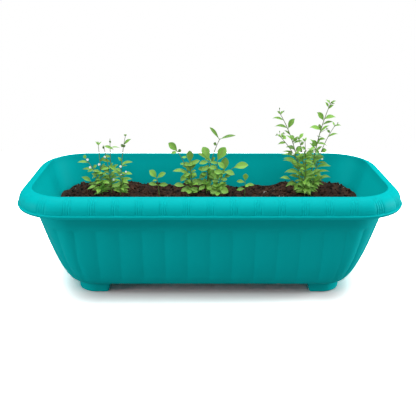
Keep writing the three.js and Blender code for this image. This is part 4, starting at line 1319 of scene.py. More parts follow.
PLANTS = (
    PlantSpec("left_herb_1", (-0.715, 0.47), Form.LANCE, 2.0, (
        Shoot((-27, 2), 65, flowers=((0.97, 330, 4, -10), (0.72, 235, 4, 0)), thicket=16, leaves=(
            (1, 150, 8, 5.2, 65, 0.1), (0.85, 181, 20, 4.2, 4), (0.63, 178, 20, 4.2, 5),
            (0.66, 10, 10, 5.2, 45), (0.64, 196, 11, 4.7, -16), (0.5, 345, 14, 5.2, 14),
            (0.42, 160, 13, 4.7, 28),
        )),
        Shoot((-3, 4), 89, flowers=((0.55, 250, 3, 10),), thicket=20, leaves=(
            (1, 165, 9, 1.6, 55), (1, 15, 9, 1.6, 50), (1, 110, 8, 1.6, 75), (0.6, 15, 12, 4.7, 42, 0.9),
            (0.44, 350, 14, 5.2, 10), (0.4, 200, 15, 5.2, 12), (0.2, 335, 17, 6.7, 0),
            (0.16, 180, 24, 4.7, 2), (0.2, 240, 14, 5.2, 6),
        )),
        Shoot((-18, -3), 24, thicket=14, leaves=(
            (1, 168, 20, 6.7, 26), (0.6, 203, 18, 5.2, -12), (0.35, 262, 15, 7, -14),
        )),
    )),
    PlantSpec("left_herb_2", (-0.655, 0.53), Form.LANCE, 2.0, (
        Shoot((-11, 2), 86, flowers=((0.71, 215, 3, 10),), thicket=14, leaves=(
            (1, 0, 18, 4.5, -16), (0.9, 185, 6, 3, 60, 0.8), (0.52, 352, 20, 5.2, -30),
            (0.44, 175, 15, 5.2, 24), (0.3, 20, 13, 5.2, 34),
        )),
        Shoot((1, 4), 97, flowers=((0.22, 330, 6, -10),), thicket=16, leaves=(
            (0.9, 350, 5, 4, 75, 0.8), (0.8, 358, 17, 1.8, 4), (0.62, 182, 11, 4.5, 6),
            (0.52, 178, 17, 4.7, 14), (0.36, 8, 18, 5.2, 42), (0.24, 190, 16, 5.2, 8),
        )),
    )),
    PlantSpec("left_herb_3", (-0.59, 0.44), Form.LANCE, 2.0, (
        Shoot((13, 0), 107, flowers=((0.42, 250, 3, 15),), thicket=18, leaves=(
            (0.8, 4, 17, 5.2, 40), (0.76, 205, 7, 5.2, 42, 1), (0.76, 350, 5, 4.2, 40, 1),
            (0.5, 172, 11, 3.5, 52), (0.46, 5, 20, 4.2, 12), (1, 150, 4, 2, 50, 0.5),
            (1, 40, 4, 2, 50, 0.5), (0.3, 185, 17, 5.2, 20), (0.2, 10, 17, 4.7, 6),
        )),
        Shoot((9, -2), 40, flowers=((1, 20, 3, 30), (0.86, 170, 5, 20)), thicket=16, leaves=(
            (1, 350, 14, 4.7, 0), (0.6, 330, 14, 5.9, -14), (0.62, 8, 17, 4.2, 6),
            (0.4, 205, 19, 5.9, -6), (0.3, 352, 15, 4.7, -4), (0.25, 300, 12, 5.2, -8),
            (0.8, 178, 12, 4.2, 30),
        )),
    )),
    PlantSpec("seedling_1", (-0.33, 0.49), Form.SPOON, 2.0, (
        Shoot((-4, 0), 31, leaves=(
            (1, 178, 20, 12, 50), (1, 2, 19, 9.5, 34), (0.5, 182, 17, 8, 12), (0.5, 356, 17, 8, 6),
            (0.85, 215, 9, 5, 0),
        )),
    )),
    PlantSpec("middle_herb_1", (-0.105, 0.47), Form.SPOON, 2.2, (
        Shoot((-27, 2), 79, thicket=14, leaves=(
            (1, 178, 23, 12.5, 46), (0.96, 190, 12, 5.5, -4), (0.98, 0, 7, 7, 24, 1),
            (0.82, 350, 9, 5, 6), (0.48, 181, 26, 8, 4), (0.42, 196, 18, 10, -36), (0.62, 3, 15, 8, 12),
            (0.34, 170, 13, 8, 20),
        )),
        Shoot((-5, 0), 59, thicket=16, leaves=(
            (1, 97, 23, 13, 84), (0.86, 172, 13, 8, 24), (0.88, 5, 19, 8, 30),
            (0.68, 62, 21, 12, 60, 0.7), (0.6, 190, 14, 8, -10), (0.42, 340, 15, 10, -34, 0.6),
            (0.3, 185, 14, 8, 12),
        )),
        Shoot((-15, -3), 18, thicket=9, leaves=(
            (0.9, 177, 20, 9.5, 8), (0.6, 200, 15, 8, -12), (0.45, 258, 13, 10, -12),
            (0.4, 350, 12, 8, 4),
        )),
    )),
    PlantSpec("middle_herb_2", (-0.012, 0.53), Form.SPOON, 2.2, (
        Shoot((5, 0), 60, thicket=16, leaves=(
            (1, 140, 27, 15, 56), (1, 178, 24, 6, 34, 0.4), (0.9, 184, 17, 10, -6),
            (0.9, 356, 15, 6.5, -6), (0.62, 168, 18, 9, 8), (0.56, 200, 18, 10, -30, 0.6),
            (0.5, 22, 15, 9, 24),
        )),
        Shoot((23, 2), 97, thicket=11, leaves=(
            (1, 167, 28, 6.5, 52, 0.55), (1, 3, 29, 7, 16, 0.75), (0.85, 190, 7, 7, 30, 1),
            (0.42, 205, 17, 9, -12), (0.36, 335, 20, 11, -36), (0.2, 20, 15, 9, 14),
        )),
        Shoot((-4, -6), 19, thicket=7, leaves=(
            (0.9, 178, 18, 13, 12), (0.6, 222, 15, 9, -14), (0.5, 320, 14, 9, -8),
        )),
    )),
    PlantSpec("middle_herb_3", (0.058, 0.44), Form.SPOON, 2.2, (
        Shoot((0, 0.5), 65, thicket=13, leaves=(
            (1, 20, 29, 16, 58), (0.94, 350, 16, 10, -38), (0.72, 182, 15, 8, 14), (0.6, 6, 17, 9, 2),
        )),
        Shoot((12, 0), 46, thicket=11, leaves=(
            (1, 62, 26, 14, 74), (1, 354, 19, 11, -12), (0.92, 184, 16, 10.5, 8), (0.6, 340, 13, 7, 10),
        )),
        Shoot((29, 3), 52, thicket=7, leaves=(
            (1, 2, 27, 13, 13), (0.62, 350, 12, 8, 22),
        )),
        Shoot((4, -6), 16, thicket=7, leaves=(
            (0.9, 345, 17, 13, -12), (0.6, 205, 15, 9, -6), (0.5, 262, 13, 9, -12), (0.5, 10, 16, 7, 14),
        )),
    )),
    PlantSpec("seedling_2", (0.246, 0.53), Form.SPOON, 1.8, (
        Shoot((0.5, 0), 24, leaves=(
            (1, 62, 14, 10, 76), (0.85, 178, 15, 7, 8), (0.6, 356, 16, 6.5, 4), (0.3, 186, 15, 7, -6),
            (0.6, 300, 10, 7, 2),
        )),
    )),
    PlantSpec("right_shrub_1", (0.675, 0.47), Form.NARROW, 2.6, (
        Shoot((29, 0), 161, flowers=((0.42, 220, 3, 10),),
              twigs=((0.96, 100, 5, 45), (0.93, 350, 7, 50), (0.62, 0, 12, 30)), thicket=21, leaves=(
            (1, 150, 11, 2.5, 40), (1, 15, 12, 2.5, 28), (0.92, 165, 12, 4, 58), (0.9, 10, 13, 4, 40),
            (0.76, 172, 20, 8, 52), (0.78, 3, 20, 8, 14), (0.71, 2, 20, 4, 20, 0.6),
            (0.65, 178, 20, 8, 18), (0.64, 110, 14, 5, 62, 0.8), (0.57, 270, 11, 8, 20, 1),
            (0.54, 350, 13, 4, 12), (0.46, 160, 15, 8, 60), (0.41, 182, 17, 7, -10), (0.4, 15, 18, 4, 42),
            (0.35, 185, 20, 4.5, 34), (0.3, 350, 20, 4.5, 30), (0.24, 170, 19, 4.5, 42),
            (0.18, 10, 19, 5, 24), (0.12, 200, 17, 5, 18),
        )),
        Shoot((18, -4), 30, thicket=10, leaves=(
            (1, 355, 19, 4.5, 8), (0.7, 5, 18, 4.5, 22), (0.6, 300, 15, 5.5, -6),
            (0.4, 320, 14, 5.5, -10), (0.8, 180, 14, 4, 40),
        )),
    )),
    PlantSpec("right_shrub_2", (0.7, 0.55), Form.NARROW, 2.2, (
        Shoot((35, 4), 118, flowers=((0.45, 350, 5, -10),), twigs=((0.95, 30, 9, 30),),
              thicket=19, leaves=(
            (1, 5, 12, 2.5, 10), (1, 120, 9, 2.5, 55), (0.78, 3, 19, 3.5, 22), (0.85, 170, 8, 4, 40, 0.7),
            (0.54, 0, 11, 7.5, 24, 0.1), (0.3, 358, 27, 4, 14), (0.5, 178, 16, 4, 42),
            (0.38, 175, 18, 4, 42), (0.32, 350, 24, 5, 8), (0.22, 5, 27, 4.5, 12), (0.16, 185, 17, 5, 26),
        )),
    )),
    PlantSpec("right_shrub_3", (0.622, 0.53), Form.NARROW, 2.4, (
        Shoot((-42, 2), 140, twigs=((1, 100, 6, 60), (0.97, 20, 6, 40)), thicket=21, leaves=(
            (1, 170, 9, 3, 45), (1, 40, 8, 3, 50), (0.88, 180, 21, 3.5, 16), (0.77, 182, 23, 5, 14),
            (0.76, 8, 23, 8.5, 60), (0.68, 300, 13, 7, -35, 0.6), (0.58, 10, 12, 6, 40, 0.7),
            (0.5, 182, 16, 4, 14), (0.46, 15, 15, 5, 44), (0.4, 178, 27, 4.5, 24),
            (0.36, 12, 17, 4.5, 44), (0.3, 178, 28, 5, 20), (0.22, 190, 26, 5, 2), (0.2, 15, 18, 5, 32),
            (0.14, 175, 19, 5.5, 18),
        )),
        Shoot((-20, -4), 24, thicket=10, leaves=(
            (0.95, 176, 19, 5.5, 12), (0.7, 205, 18, 6, -16), (0.5, 250, 15, 6, -22),
            (0.3, 185, 15, 4.5, 20),
        )),
    )),
    PlantSpec("right_shrub_4", (0.648, 0.43), Form.NARROW, 2.2, (
        Shoot((-48, 0), 104, flowers=((0.66, 250, 3, 10),),
              twigs=((1, 110, 7, 60), (0.97, 30, 7, 50), (0.97, 170, 8, 30)), thicket=20, leaves=(
            (1, 165, 9, 2.5, 40), (1, 60, 10, 2.5, 60), (0.94, 20, 8, 8, 35), (0.86, 182, 14, 4.5, -4),
            (0.8, 330, 12, 6, -20, 0.8), (0.7, 205, 9, 6, -30, 0.9), (0.6, 180, 24, 4, 14),
            (0.5, 183, 28, 4.5, 20), (0.5, 10, 17, 4.5, 42), (0.4, 5, 18, 4.5, 34), (0.3, 185, 26, 5, 12),
        )),
        Shoot((-16, -2), 101, thicket=22, leaves=(
            (1, 30, 14, 5.5, 52), (0.95, 170, 8, 2.5, 60), (0.85, 0, 8, 5, 45, 0.8),
            (0.7, 165, 13, 6, 50), (0.6, 350, 14, 5, 44), (0.54, 184, 18, 5, 38), (0.46, 345, 19, 5, 38),
            (0.4, 178, 19, 5, 40), (0.32, 225, 18, 5, 28), (0.28, 335, 19, 5, 24), (0.2, 262, 17, 6, -6),
        )),
        Shoot((-6, -6), 98, thicket=22, leaves=(
            (1, 60, 9, 2.5, 60), (1, 160, 8, 2.5, 50), (0.8, 200, 10, 5, 30), (0.62, 10, 14, 4, 45),
            (0.5, 335, 18, 5, 38), (0.4, 352, 20, 5, 34), (0.3, 5, 20, 5, 22), (0.2, 290, 18, 6.5, -14),
            (0.14, 340, 18, 5.5, -6),
        )),
        Shoot((1, -8), 14, thicket=8, leaves=(
            (0.9, 250, 15, 7, -14), (0.7, 295, 15, 7.5, -12), (0.5, 180, 18, 5.5, -4),
            (0.5, 352, 18, 5.5, -2),
        )),
    )),
)


def heading(azimuth: np.ndarray, rise: np.ndarray) -> np.ndarray:
    """Directions from angles in degrees round +Z and above the level."""
    turn, lift = np.radians(azimuth), np.radians(rise)
    return np.stack([np.cos(turn) * np.cos(lift), np.sin(turn) * np.cos(lift), np.sin(lift)], axis=-1)


def unit(vectors: np.ndarray) -> np.ndarray:
    """Vectors at a length of 1."""
    return vectors / np.maximum(np.linalg.norm(vectors, axis=-1, keepdims=True), LEAST_LENGTH)


def bezier(corners: np.ndarray, share: np.ndarray) -> tuple[np.ndarray, np.ndarray]:
    """Points and tangents of quadratic curves.

    Formula: (1 - t)^2 a + 2 t (1 - t) b + t^2 c, whose tangent is (1 - t)(b - a) + t (c - b).

    Args:
        corners: The three control points of each curve.
        share: Shares along each curve.

    Returns:
        Points and unit tangents, by curve and share.
    """
    t = share[:, :, None]
    a, b, c = corners[:, None, 0], corners[:, None, 1], corners[:, None, 2]
    return (1 - t) ** 2 * a + 2 * t * (1 - t) * b + t ** 2 * c, unit((1 - t) * (b - a) + t * (c - b))


@dataclass(frozen=True)
class Blades:
    """Leaf blades as closed lenses, thin at the edges, with their faces turned up and to the front."""

    rows: int = 15
    top: int = 9
    bottom: int = 7
    thickness: float = 0.36 * MM
    droop: float = 0.35
    cup_power: float = 1.6
    root_cap: float = 0.2 * MM
    tip_cap: float = 0.1 * MM
    facing: tuple[float, float, float] = (0.0, -0.74, 0.67)

    def fill(self, skin: Skin, finish: int, form: LeafForm, roots: np.ndarray, out: np.ndarray,
             length: np.ndarray, width: np.ndarray, roll: np.ndarray, shade: np.ndarray,
             facing: np.ndarray | None = None) -> None:
        """Adds blades to a skin.

        Formula: a centre line rises from the root and droops to the tip. Across it, a point at s from -1 to 1
        stands s w / 2 to the side, is cupped up by w |s| to a power, and is thicker by the root of 1 - s^2.

        Args:
            skin: Skin that takes the blades.
            finish: Number of the leaf material.
            form: Outline of the blades.
            roots: Where the blades start.
            out: Directions of the blades.
            length: Lengths of the blades.
            width: Widths of the blades.
            roll: Turn of each blade about its own line, in degrees.
            shade: Depth of shade of each blade.
            facing: Direction that each blade faces, or None for up and to the front.
        """
        count = len(roots)
        reach = out * length[:, None]
        arch = np.array([0, 0, 1.0]) * (form.arch * length)[:, None]
        corners = np.stack([roots, roots + reach / 2 + arch, roots + reach - self.droop * arch], axis=1)
        share = np.broadcast_to(np.linspace(0.0, 1.0, self.rows), (count, self.rows))
        centre, along = bezier(corners, share)
        aim = np.broadcast_to(unit(np.array(self.facing)), (count, 3)) if facing is None else unit(facing)
        normal = unit(aim[:, None] - np.sum(aim[:, None] * along, axis=-1, keepdims=True) * along)
        side = np.cross(along, normal)
        angle = np.radians(roll)[:, None, None]
        cosine, sine = np.cos(angle), np.sin(angle)
        normal, side = normal * cosine - side * sine, side * cosine + normal * sine
        across_top = np.linspace(-1, 1, self.top)
        across_bottom = np.linspace(1, -1, self.bottom + 2)[1:-1]
        across = np.concatenate([across_top, across_bottom])
        below = np.concatenate([np.zeros(self.top), np.ones(self.bottom)])
        wide = form.width(share, width)[:, :, None]
        lens = np.sqrt(np.clip(1 - across ** 2, 0, 1)) * np.where(below > 0, -0.5, 0.5) * self.thickness
        lift = form.cup * wide * np.abs(across) ** self.cup_power + lens
        aside = side[:, :, None] * (wide * across / 2)[..., None]
        rings = centre[:, :, None] + aside + normal[:, :, None] * lift[..., None]
        places = np.stack(np.broadcast_arrays(share[:, :, None], across[None, None]), axis=-1)
        tints = np.zeros((count, self.rows, len(across), 3))
        tints[..., 1] = shade[:, None, None]
        tints[..., 2] = below
        starts = centre[:, 0] - along[:, 0] * self.root_cap
        ends = centre[:, -1] + along[:, -1] * self.tip_cap
        Spindles(self.rows, len(across)).fill(skin, rings, starts, ends, finish, places, tints)


@dataclass(frozen=True)
class Thicket:
    """Small leaves that crowd the lower part of a stem. Angles are degrees."""

    lowest: float = 0.03
    crowding: float = 1.4
    swing: float = 50.0
    rise: tuple[float, float] = (-8.0, 60.0)
    shade: tuple[float, float] = (0.0, 0.65)
    blades: Blades = Blades(rows=9, top=5, bottom=3)


@dataclass(frozen=True)
class Twig:
    """A thin twig that ends in a leaflet for each of its rises. Leaflets are millimetres, angles degrees."""

    radius: float = 0.42 * MM
    taper: float = 0.4
    shade: float = 0.5
    arch: float = 0.08
    rises: tuple[float, ...] = (-40.0, 5.0, 45.0)
    swing: float = 25.0
    leaflet: tuple[float, float] = (3.0, 5.0)
    slimness: float = 0.32
    roll: float = 30.0
    leaflet_shade: tuple[float, float] = (0.4, 0.9)
    blades: Blades = Blades(rows=9, top=5, bottom=3)


@dataclass(frozen=True)
class Flower:
    """A stalked flower of rounded petals round a small heart, turned up and to the front."""

    radius: float = 0.4 * MM
    taper: float = 0.2
    shade: float = 0.3
    arch: float = 0.0
    aim: tuple[float, float, float] = (0.0, -0.7, 0.7)
    stalk_pull: float = 0.4
    petals: int = 5
    cone: float = 0.25
    petal: float = 2.4 * MM
    petal_width: float = 0.9
    petal_shade: tuple[float, float] = (0.0, 0.3)
    heart: float = 0.45 * MM
    heart_lift: float = 0.3 * MM
    blades: Blades = Blades(rows=7, top=7, bottom=5, thickness=0.3 * MM)


@dataclass
class Plant:
    """One plant: stems, stalks, leaves, twigs and flowers in one piece.

    The radii of the stock at its foot and of its stems are shares of the stem width of the plant.
    """

    spec: PlantSpec
    foot: np.ndarray
    tube_rows: int = 16
    tube_sides: int = 8
    tube_cap: float = 0.3 * MM
    stock: tuple[float, float] = (8 * MM, 3.5 * MM)
    stock_radius: float = 0.6
    stock_taper: float = 0.3
    stock_shade: float = 0.7
    stem_radius: float = 0.42
    stem_taper: float = 0.5
    stem_shade: float = 0.35
    foot_spread: float = 0.35
    foot_lift: float = 2 * MM
    bend_out: float = 0.12
    bend_up: float = 0.6
    leaf_limit: float = 0.97
    twig_limit: float = 0.99
    leaf_roll: float = 16.0
    leaf_shade: tuple[float, float] = (0.0, 0.5)
    thicket: Thicket = Thicket()
    twig: Twig = Twig()
    flower: Flower = Flower()

    LEAF, STEM, PETAL, HEART = range(4)

    def __post_init__(self) -> None:
        """Seeds the plant's own small variations from its name."""
        seed = sum(ord(letter) * (k + 3) for k, letter in enumerate(self.spec.node))
        self.rng = np.random.default_rng(seed)
        self.skin = Skin()

    def _curve(self, shoot: Shoot) -> np.ndarray:
        """Control points of a stem, which bends once above the soil."""
        lean = np.array([*shoot.lean, 0.0]) * MM
        aside = unit(lean) * self.foot_spread * self.spec.stem_width * MM
        start = self.foot + aside + [0, 0, self.foot_lift]
        tip = self.foot + lean + [0, 0, shoot.height * MM]
        bend = start + self.bend_out * (tip - start)
        bend[2] = self.foot[2] + self.bend_up * shoot.height * MM
        return np.stack([start, bend, tip])

    @staticmethod
    def _on_stem(curve: np.ndarray, share: np.ndarray, limit: float) -> np.ndarray:
        """Points of a stem at shares of its length, none of them past a limit."""
        curves = np.broadcast_to(curve, (len(share), 3, 3))
        return bezier(curves, np.minimum(share, limit)[:, None])[0][:, 0]

    def _tubes(self, corners: np.ndarray, radius: float, taper: float, shade: float) -> None:
        """Adds round tubes along curves.

        Formula: the points of a ring stand at even angles round the curve, measured from the part of a fixed
        heading that is square to the curve, towards the cross product of the curve's direction with it.

        Args:
            corners: Control points of each curve.
            radius: Radius at the start of a tube.
            taper: Share of the radius that is lost towards the end.
            shade: Depth of shade.
        """
        count = len(corners)
        share = np.broadcast_to(np.linspace(0, 1, self.tube_rows), (count, self.tube_rows))
        centre, along = bezier(corners, share)
        east = np.array([1.0, 0.13, 0.0])
        first = unit(east - np.sum(east * along, axis=-1, keepdims=True) * along)
        second = np.cross(along, first)
        turn = math.tau * np.arange(self.tube_sides) / self.tube_sides
        size = (radius * (1 - taper * share))[..., None, None]
        circle = np.cos(turn)[:, None] * first[:, :, None] + np.sin(turn)[:, None] * second[:, :, None]
        rings = centre[:, :, None] + size * circle
        places = np.stack(np.broadcast_arrays(share[:, :, None], (turn / math.tau)[None, None]), axis=-1)
        tints = np.broadcast_to(np.array([0, shade, 0.0]), (count, 3))
        starts = centre[:, 0] - along[:, 0] * self.tube_cap
        ends = centre[:, -1] + along[:, -1] * self.tube_cap
        tubes = Spindles(self.tube_rows, self.tube_sides)
        tubes.fill(self.skin, rings, starts, ends, self.STEM, places, tints)

    def _leaves(self, curve: np.ndarray, rows: np.ndarray, shades: np.ndarray, blades: Blades) -> None:
        """Adds leaves to a stem.

        Args:
            curve: Control points of the stem.
            rows: Share, direction, length, width and rise of each leaf.
            shades: Depth of shade of each leaf.
            blades: Maker of the blades.
        """
        form = self.spec.form.value
        roots = self._on_stem(curve, rows[:, 0], self.leaf_limit)
        out = heading(rows[:, 1], rows[:, 4])
        roll = self.rng.uniform(-self.leaf_roll, self.leaf_roll, len(rows))
        width = (rows[:, 3] + form.spread) * MM
        blades.fill(self.skin, self.LEAF, form, roots, out, rows[:, 2] * MM, width, roll, shades)

    def _thicket(self, curve: np.ndarray, count: int) -> None:
        """Adds small leaves of the plant's own form to both sides of the lower part of a stem.

        Args:
            curve: Control points of the stem.
            count: Number of leaves.
        """
        rng, form, habit = self.rng, self.spec.form.value, self.thicket
        side = np.where(rng.uniform(size=count) < 0.5, 0.0, 180.0)
        length = rng.uniform(*form.thicket_length, count)
        share = habit.lowest + form.thicket_top * rng.uniform(size=count) ** habit.crowding
        azimuth = side + rng.uniform(-habit.swing, habit.swing, count)
        width = length * form.slimness - form.spread
        rise = rng.uniform(*habit.rise, count)
        shades = rng.uniform(*habit.shade, count)
        self._leaves(curve, np.column_stack([share, azimuth, length, width, rise]), shades, habit.blades)

    def _stalks(self, curve: np.ndarray, rows: np.ndarray,
                habit: Twig | Flower) -> tuple[np.ndarray, np.ndarray]:
        """Adds the stalks of twigs or flowers.

        Args:
            curve: Control points of the stem.
            rows: Share, direction, length and rise of each stalk.
            habit: How they grow.

        Returns:
            The tips of the stalks and their directions.
        """
        roots = self._on_stem(curve, rows[:, 0], self.twig_limit)
        out = heading(rows[:, 1], rows[:, 3])
        tips = roots + out * (rows[:, 2] * MM)[:, None]
        middle = (roots + tips) / 2 + np.array([0, 0, 1.0]) * (habit.arch * rows[:, 2] * MM)[:, None]
        self._tubes(np.stack([roots, middle, tips], axis=1), habit.radius, habit.taper, habit.shade)
        return tips, out

    def _twigs(self, curve: np.ndarray, rows: np.ndarray) -> None:
        """Adds thin twigs that end in leaflets.

        Args:
            curve: Control points of the stem.
            rows: Share, direction, length and rise of each twig.
        """
        habit = self.twig
        tips, _ = self._stalks(curve, rows, habit)
        each = len(habit.rises)
        count = each * len(rows)
        azimuth = np.repeat(rows[:, 1], each) + self.rng.uniform(-habit.swing, habit.swing, count)
        rise = np.repeat(rows[:, 3], each) + np.tile(habit.rises, len(rows))
        size = self.rng.uniform(*habit.leaflet, count) * MM
        roll = self.rng.uniform(-habit.roll, habit.roll, count)
        shades = self.rng.uniform(*habit.leaflet_shade, count)
        habit.blades.fill(self.skin, self.LEAF, Form.NARROW.value, np.repeat(tips, each, axis=0),
                          heading(azimuth, rise), size, size * habit.slimness, roll, shades)

    def _flowers(self, curve: np.ndarray, rows: np.ndarray) -> None:
        """Adds stalked flowers of rounded petals round a small heart.

        Formula: petals point from the tip of the stalk at even angles across the flower's aim, raised towards
        it by the cone. The aim is up and to the front, pulled towards the stalk's direction.

        Args:
            curve: Control points of the stem.
            rows: Share, direction, length of stalk and rise of each flower.
        """
        habit = self.flower
        tips, out = self._stalks(curve, rows, habit)
        count = habit.petals * len(rows)
        aim = unit(out * habit.stalk_pull + np.array(habit.aim))
        first = unit(np.cross(aim, [0, 0, 1.0]))
        second = np.cross(aim, first)
        turn = math.tau * np.arange(habit.petals) / habit.petals
        spokes = np.cos(turn)[:, None] * first[:, None] + np.sin(turn)[:, None] * second[:, None]
        petals = unit(spokes + habit.cone * aim[:, None]).reshape(-1, 3)
        length = np.full(count, habit.petal)
        shades = self.rng.uniform(*habit.petal_shade, count)
        middles, aims = np.repeat(tips, habit.petals, axis=0), np.repeat(aim, habit.petals, axis=0)
        habit.blades.fill(self.skin, self.PETAL, Form.PETAL.value, middles, petals, length,
                          length * habit.petal_width, np.zeros(count), shades, aims)
        corners, faces = icosahedron()
        hearts = tips[:, None] + corners * habit.heart + aim[:, None] * habit.heart_lift
        numbers = faces[None] + len(corners) * np.arange(len(rows))[:, None, None]
        self.skin.add(hearts.reshape(-1, 3), [numbers.reshape(-1, 3)], self.HEART)

    def build(self, finishes: list[bpy.types.Material]) -> bpy.types.Object:
        """Makes the plant.

        Args:
            finishes: Materials of leaf, stem, petal and flower heart.

        Returns:
            The piece.
        """
        width = self.spec.stem_width * MM
        below, above = self.stock
        stock = np.stack([self.foot - [0, 0, below], self.foot, self.foot + [0, 0, above]])
        self._tubes(stock[None], self.stock_radius * width, self.stock_taper, self.stock_shade)
        for shoot in self.spec.shoots:
            curve = self._curve(shoot)
            self._tubes(curve[None], self.stem_radius * width, self.stem_taper, self.stem_shade)
            rows = np.array([leaf[:5] for leaf in shoot.leaves], dtype=float)
            given = np.array([leaf[5] if len(leaf) > 5 else -1.0 for leaf in shoot.leaves])
            drawn = self.rng.uniform(*self.leaf_shade, len(rows))
            self._leaves(curve, rows, np.where(given < 0, drawn, given), Blades())
            if shoot.thicket:
                self._thicket(curve, shoot.thicket)
            if shoot.twigs:
                self._twigs(curve, np.array(shoot.twigs, dtype=float))
            if shoot.flowers:
                self._flowers(curve, np.array(shoot.flowers, dtype=float))
        return self.skin.make(f"{self.spec.node}_growth", finishes)


# Studio


@dataclass(frozen=True)
class Viewpoint:
    """The camera: metres, degrees below the level, millimetres, and shift as a share of the width."""

    place: tuple[float, float, float] = (-0.01913, -1.0329, 0.4916)
    pitch: float = 19.879
    lens: float = 56.49
    sensor: float = 36.0
    shift: float = 0.0256

    def build(self) -> None:
        """Makes the camera."""
        data = bpy.data.cameras.new("camera")
        data.lens = self.lens
        data.sensor_width = self.sensor
        data.shift_x = self.shift
        data.clip_end = 50
        camera = add_object("camera", data)
        camera.location = self.place
        camera.rotation_euler = (math.radians(90 - self.pitch), 0, 0)
        bpy.context.scene.camera = camera


@dataclass(frozen=True)
class Lamp:
    """A soft rectangular lamp that aims at the object."""

    name: str
    place: tuple[float, float, float]
    size: tuple[float, float]
    power: float
    colour: tuple[float, float, float] = (1.0, 1.0, 1.0)
    aim: tuple[float, float, float] = (0.0, 0.0, 0.1)

    def build(self) -> None:
        """Makes the lamp."""
        data = bpy.data.lights.new(self.name, "AREA")
        data.shape = "RECTANGLE"
        data.size, data.size_y = self.size
        data.energy = self.power
        data.color = self.colour
        lamp = add_object(self.name, data)
        lamp.location = self.place
        forward = unit(np.array(self.aim) - np.array(self.place))
        lamp.rotation_euler = (math.acos(-forward[2]), 0, math.atan2(-forward[0], forward[1]))


@dataclass(frozen=True)
class Studio:
    """Pale floor with a painted shadow round the object, white surroundings and soft lamps."""

    lamps: tuple[Lamp, ...] = (
        Lamp("overhead", place=(0.0, 0.15, 1.55), size=(2.0, 1.3), power=20.8, colour=(0.95, 0.985, 1.0)),
        Lamp("fill", place=(0.0, -1.2, 1.5), size=(2.0, 0.9), power=10.7),
        Lamp("front", place=(0.0, -2.0, 0.35), size=(1.2, 0.5), power=2.3),
        Lamp("left", place=(-1.7, -0.5, 0.5), size=(0.8, 0.7), power=10.6),
        Lamp("right", place=(1.7, 0.0, 0.5), size=(0.8, 0.7), power=17.0),
    )
    ambient: float = 0.02
    # Floor colours that only the camera sees. Each is a little redder than grey, which paints out the teal
    # light that the plastic throws onto the floor.
    floor_white: tuple[float, float, float] = (4.6, 4.15, 4.15)
    # Painted shadow: the floor colour that the camera sees just round the object.
    painted_floor_shade: tuple[float, float, float] = (0.78, 0.7, 0.7)
    # Painted light: the floor colour that the camera sees under the object, brighter than the painted shadow
    # round it, which lifts the deep shade there.
    painted_under_light: tuple[float, float, float] = (2.5, 1.45, 1.5)
    shade_reach: tuple[float, float] = (0.0, 0.12)
    under_reach: tuple[float, float] = (-0.002, 0.014)
    shade_half: tuple[float, float] = (0.178, 0.062)
    shade_shift: tuple[float, float] = (0.004, 0.0)
    floor_bounce: float = 0.4
    floor_half: float = 1.6
    floor_back: float = 0.8

    def build(self) -> None:
        """Makes the floor, the surroundings and the lamps."""
        for lamp in self.lamps:
            lamp.build()
        self._world()
        half, back = self.floor_half, self.floor_back
        mesh = bpy.data.meshes.new("floor")
        corners = [(-half, -half, 0), (half, -half, 0), (half, back, 0), (-half, back, 0)]
        mesh.from_pydata(corners, [], [(0, 1, 2, 3)])
        floor = add_object("floor", mesh)
        mesh.materials.append(self._floor_finish())

    def _world(self) -> None:
        """White surroundings for what the camera sees directly or through clear things, and a dim ambient
        light for the rest.
        """
        world = bpy.data.worlds.new("surroundings")
        world.use_nodes = True
        bpy.context.scene.world = world
        tree = Tree(world.node_tree)
        path = tree.node("ShaderNodeLightPath")
        seen = tree.maths("MAXIMUM", path.outputs["Is Camera Ray"], path.outputs["Is Transmission Ray"])
        strength = tree.maths("ADD", tree.maths("MULTIPLY", seen, 1.0 - self.ambient), self.ambient)
        background = world.node_tree.nodes["Background"]
        background.inputs["Color"].default_value = (1, 1, 1, 1)
        tree.feed(background.inputs["Strength"], strength)

    def _floor_finish(self) -> bpy.types.Material:
        """White paper, exposed to white for the camera away from the object, and pale to all other light.

        Formula: the distance to a rectangle under the object, sqrt(max(|x| - a, 0)^2 + max(|y| - b, 0)^2),
        blends the colour that the camera sees from painted light under the object to a painted shadow round
        it and on to white. These colours are a little redder than grey, which cancels the teal light that the
        plastic throws onto the floor.

        Returns:
            The material.
        """
        material, tree, shader = new_material("paper")
        paper = tree.node("ShaderNodeBsdfDiffuse")
        seen = tree.node("ShaderNodeLightPath").outputs["Is Camera Ray"]
        axes = tree.node("ShaderNodeSeparateXYZ")
        tree.feed(axes.inputs[0], tree.node("ShaderNodeTexCoord").outputs["Object"])
        squares = []
        for axis, half, shift in zip("XY", self.shade_half, self.shade_shift):
            off = tree.maths("ABSOLUTE", tree.maths("SUBTRACT", axes.outputs[axis], shift))
            beyond = tree.maths("MAXIMUM", tree.maths("SUBTRACT", off, half), 0.0)
            squares.append(tree.maths("MULTIPLY", beyond, beyond))
        distance = tree.maths("SQRT", tree.maths("ADD", *squares))
        # Painted light under the object and a painted shadow round it, fading to white with the distance, in
        # the colour that only the camera sees.
        clear = tree.rise(distance, *self.shade_reach)
        out = tree.rise(distance, *self.under_reach)
        shade = tree.blend(out, rgba(self.painted_under_light), rgba(self.painted_floor_shade))
        shown = tree.blend(clear, shade, rgba(self.floor_white))
        bounce = rgba((self.floor_bounce,) * 3)
        tree.feed(paper.inputs["Color"], tree.blend(seen, bounce, shown))
        tree.feed(material.node_tree.nodes["Material Output"].inputs["Surface"], paper.outputs[0])
        tree.tree.nodes.remove(shader)
        return material


# Assembly


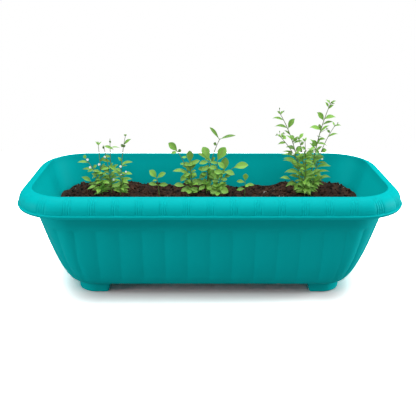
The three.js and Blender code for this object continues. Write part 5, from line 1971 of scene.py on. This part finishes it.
@dataclass
class Planter:
    """The whole object: it makes each piece, ties it to the body and hides the CAD node that it stands for.
    """

    crown_height: float = 12 * MM

    def __post_init__(self) -> None:
        """Takes the sizes from the frame."""
        low, high = (np.array(corner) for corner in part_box("trough"))
        self.form = TroughForm(length=high[0] - low[0], width=high[1] - low[1], height=high[2])
        self.soil = Soil(self.form)
        self.leaf_finishes = [
            LeafTissue(name="herb_leaf", fresh=(0.34, 0.76, 0.1), deep=(0.05, 0.17, 0.02),
                       underside=(0.33, 0.62, 0.16), rib=(0.33, 0.5, 0.09)).build(),
            PlainGrowth(name="green_stem", light=(0.23, 0.34, 0.08), dark=(0.10, 0.15, 0.04),
                        roughness=0.5).build(),
            PlainGrowth(name="petal", light=(0.97, 1.0, 0.97), dark=(0.86, 0.93, 0.84),
                        roughness=0.55).build(),
            PlainGrowth(name="flower_heart", light=(0.8, 0.82, 0.35), dark=(0.6, 0.6, 0.2),
                        roughness=0.6).build(),
        ]

    @staticmethod
    def tie(piece: bpy.types.Object, node: str, slot: Slot) -> None:
        """Ties a piece to the body and hides the CAD node that it stands for."""
        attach(piece, BODY)
        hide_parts(node)
        LOG.info("%s: %d faces", piece.name, len(piece.data.polygons))

    def build(self) -> None:
        """Makes every piece."""
        plastic = MouldedPlastic().build()
        self.tie(Trough(self.form).shell(plastic), "trough", Slot.PLASTIC)
        for foot in Feet(self.form).build(plastic):
            self.tie(foot, "trough", Slot.PLASTIC)
        earth = PottingSoil().build()
        self.tie(self.soil.bed(earth), "potting_soil", Slot.SOIL)
        self.tie(self.soil.loose_crumbs(earth), "potting_soil", Slot.SOIL)
        for spec in PLANTS:
            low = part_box(spec.node)[0][2]
            edge = self.soil.edge
            x, y = spec.at[0] * edge.half_length, spec.at[1] * edge.half_width
            foot = np.array([x, y, low + self.crown_height])
            self.tie(Plant(spec, foot).build(self.leaf_finishes), spec.node, Slot.FOLIAGE)


def main() -> None:
    """Builds the object and its studio."""
    logging.basicConfig(level=logging.INFO, format="%(name)s: %(message)s")
    scene = bpy.context.scene
    scene.view_settings.view_transform = "Standard"
    Viewpoint().build()
    Studio().build()
    Planter().build()


if __name__ == "__main__":
    main()
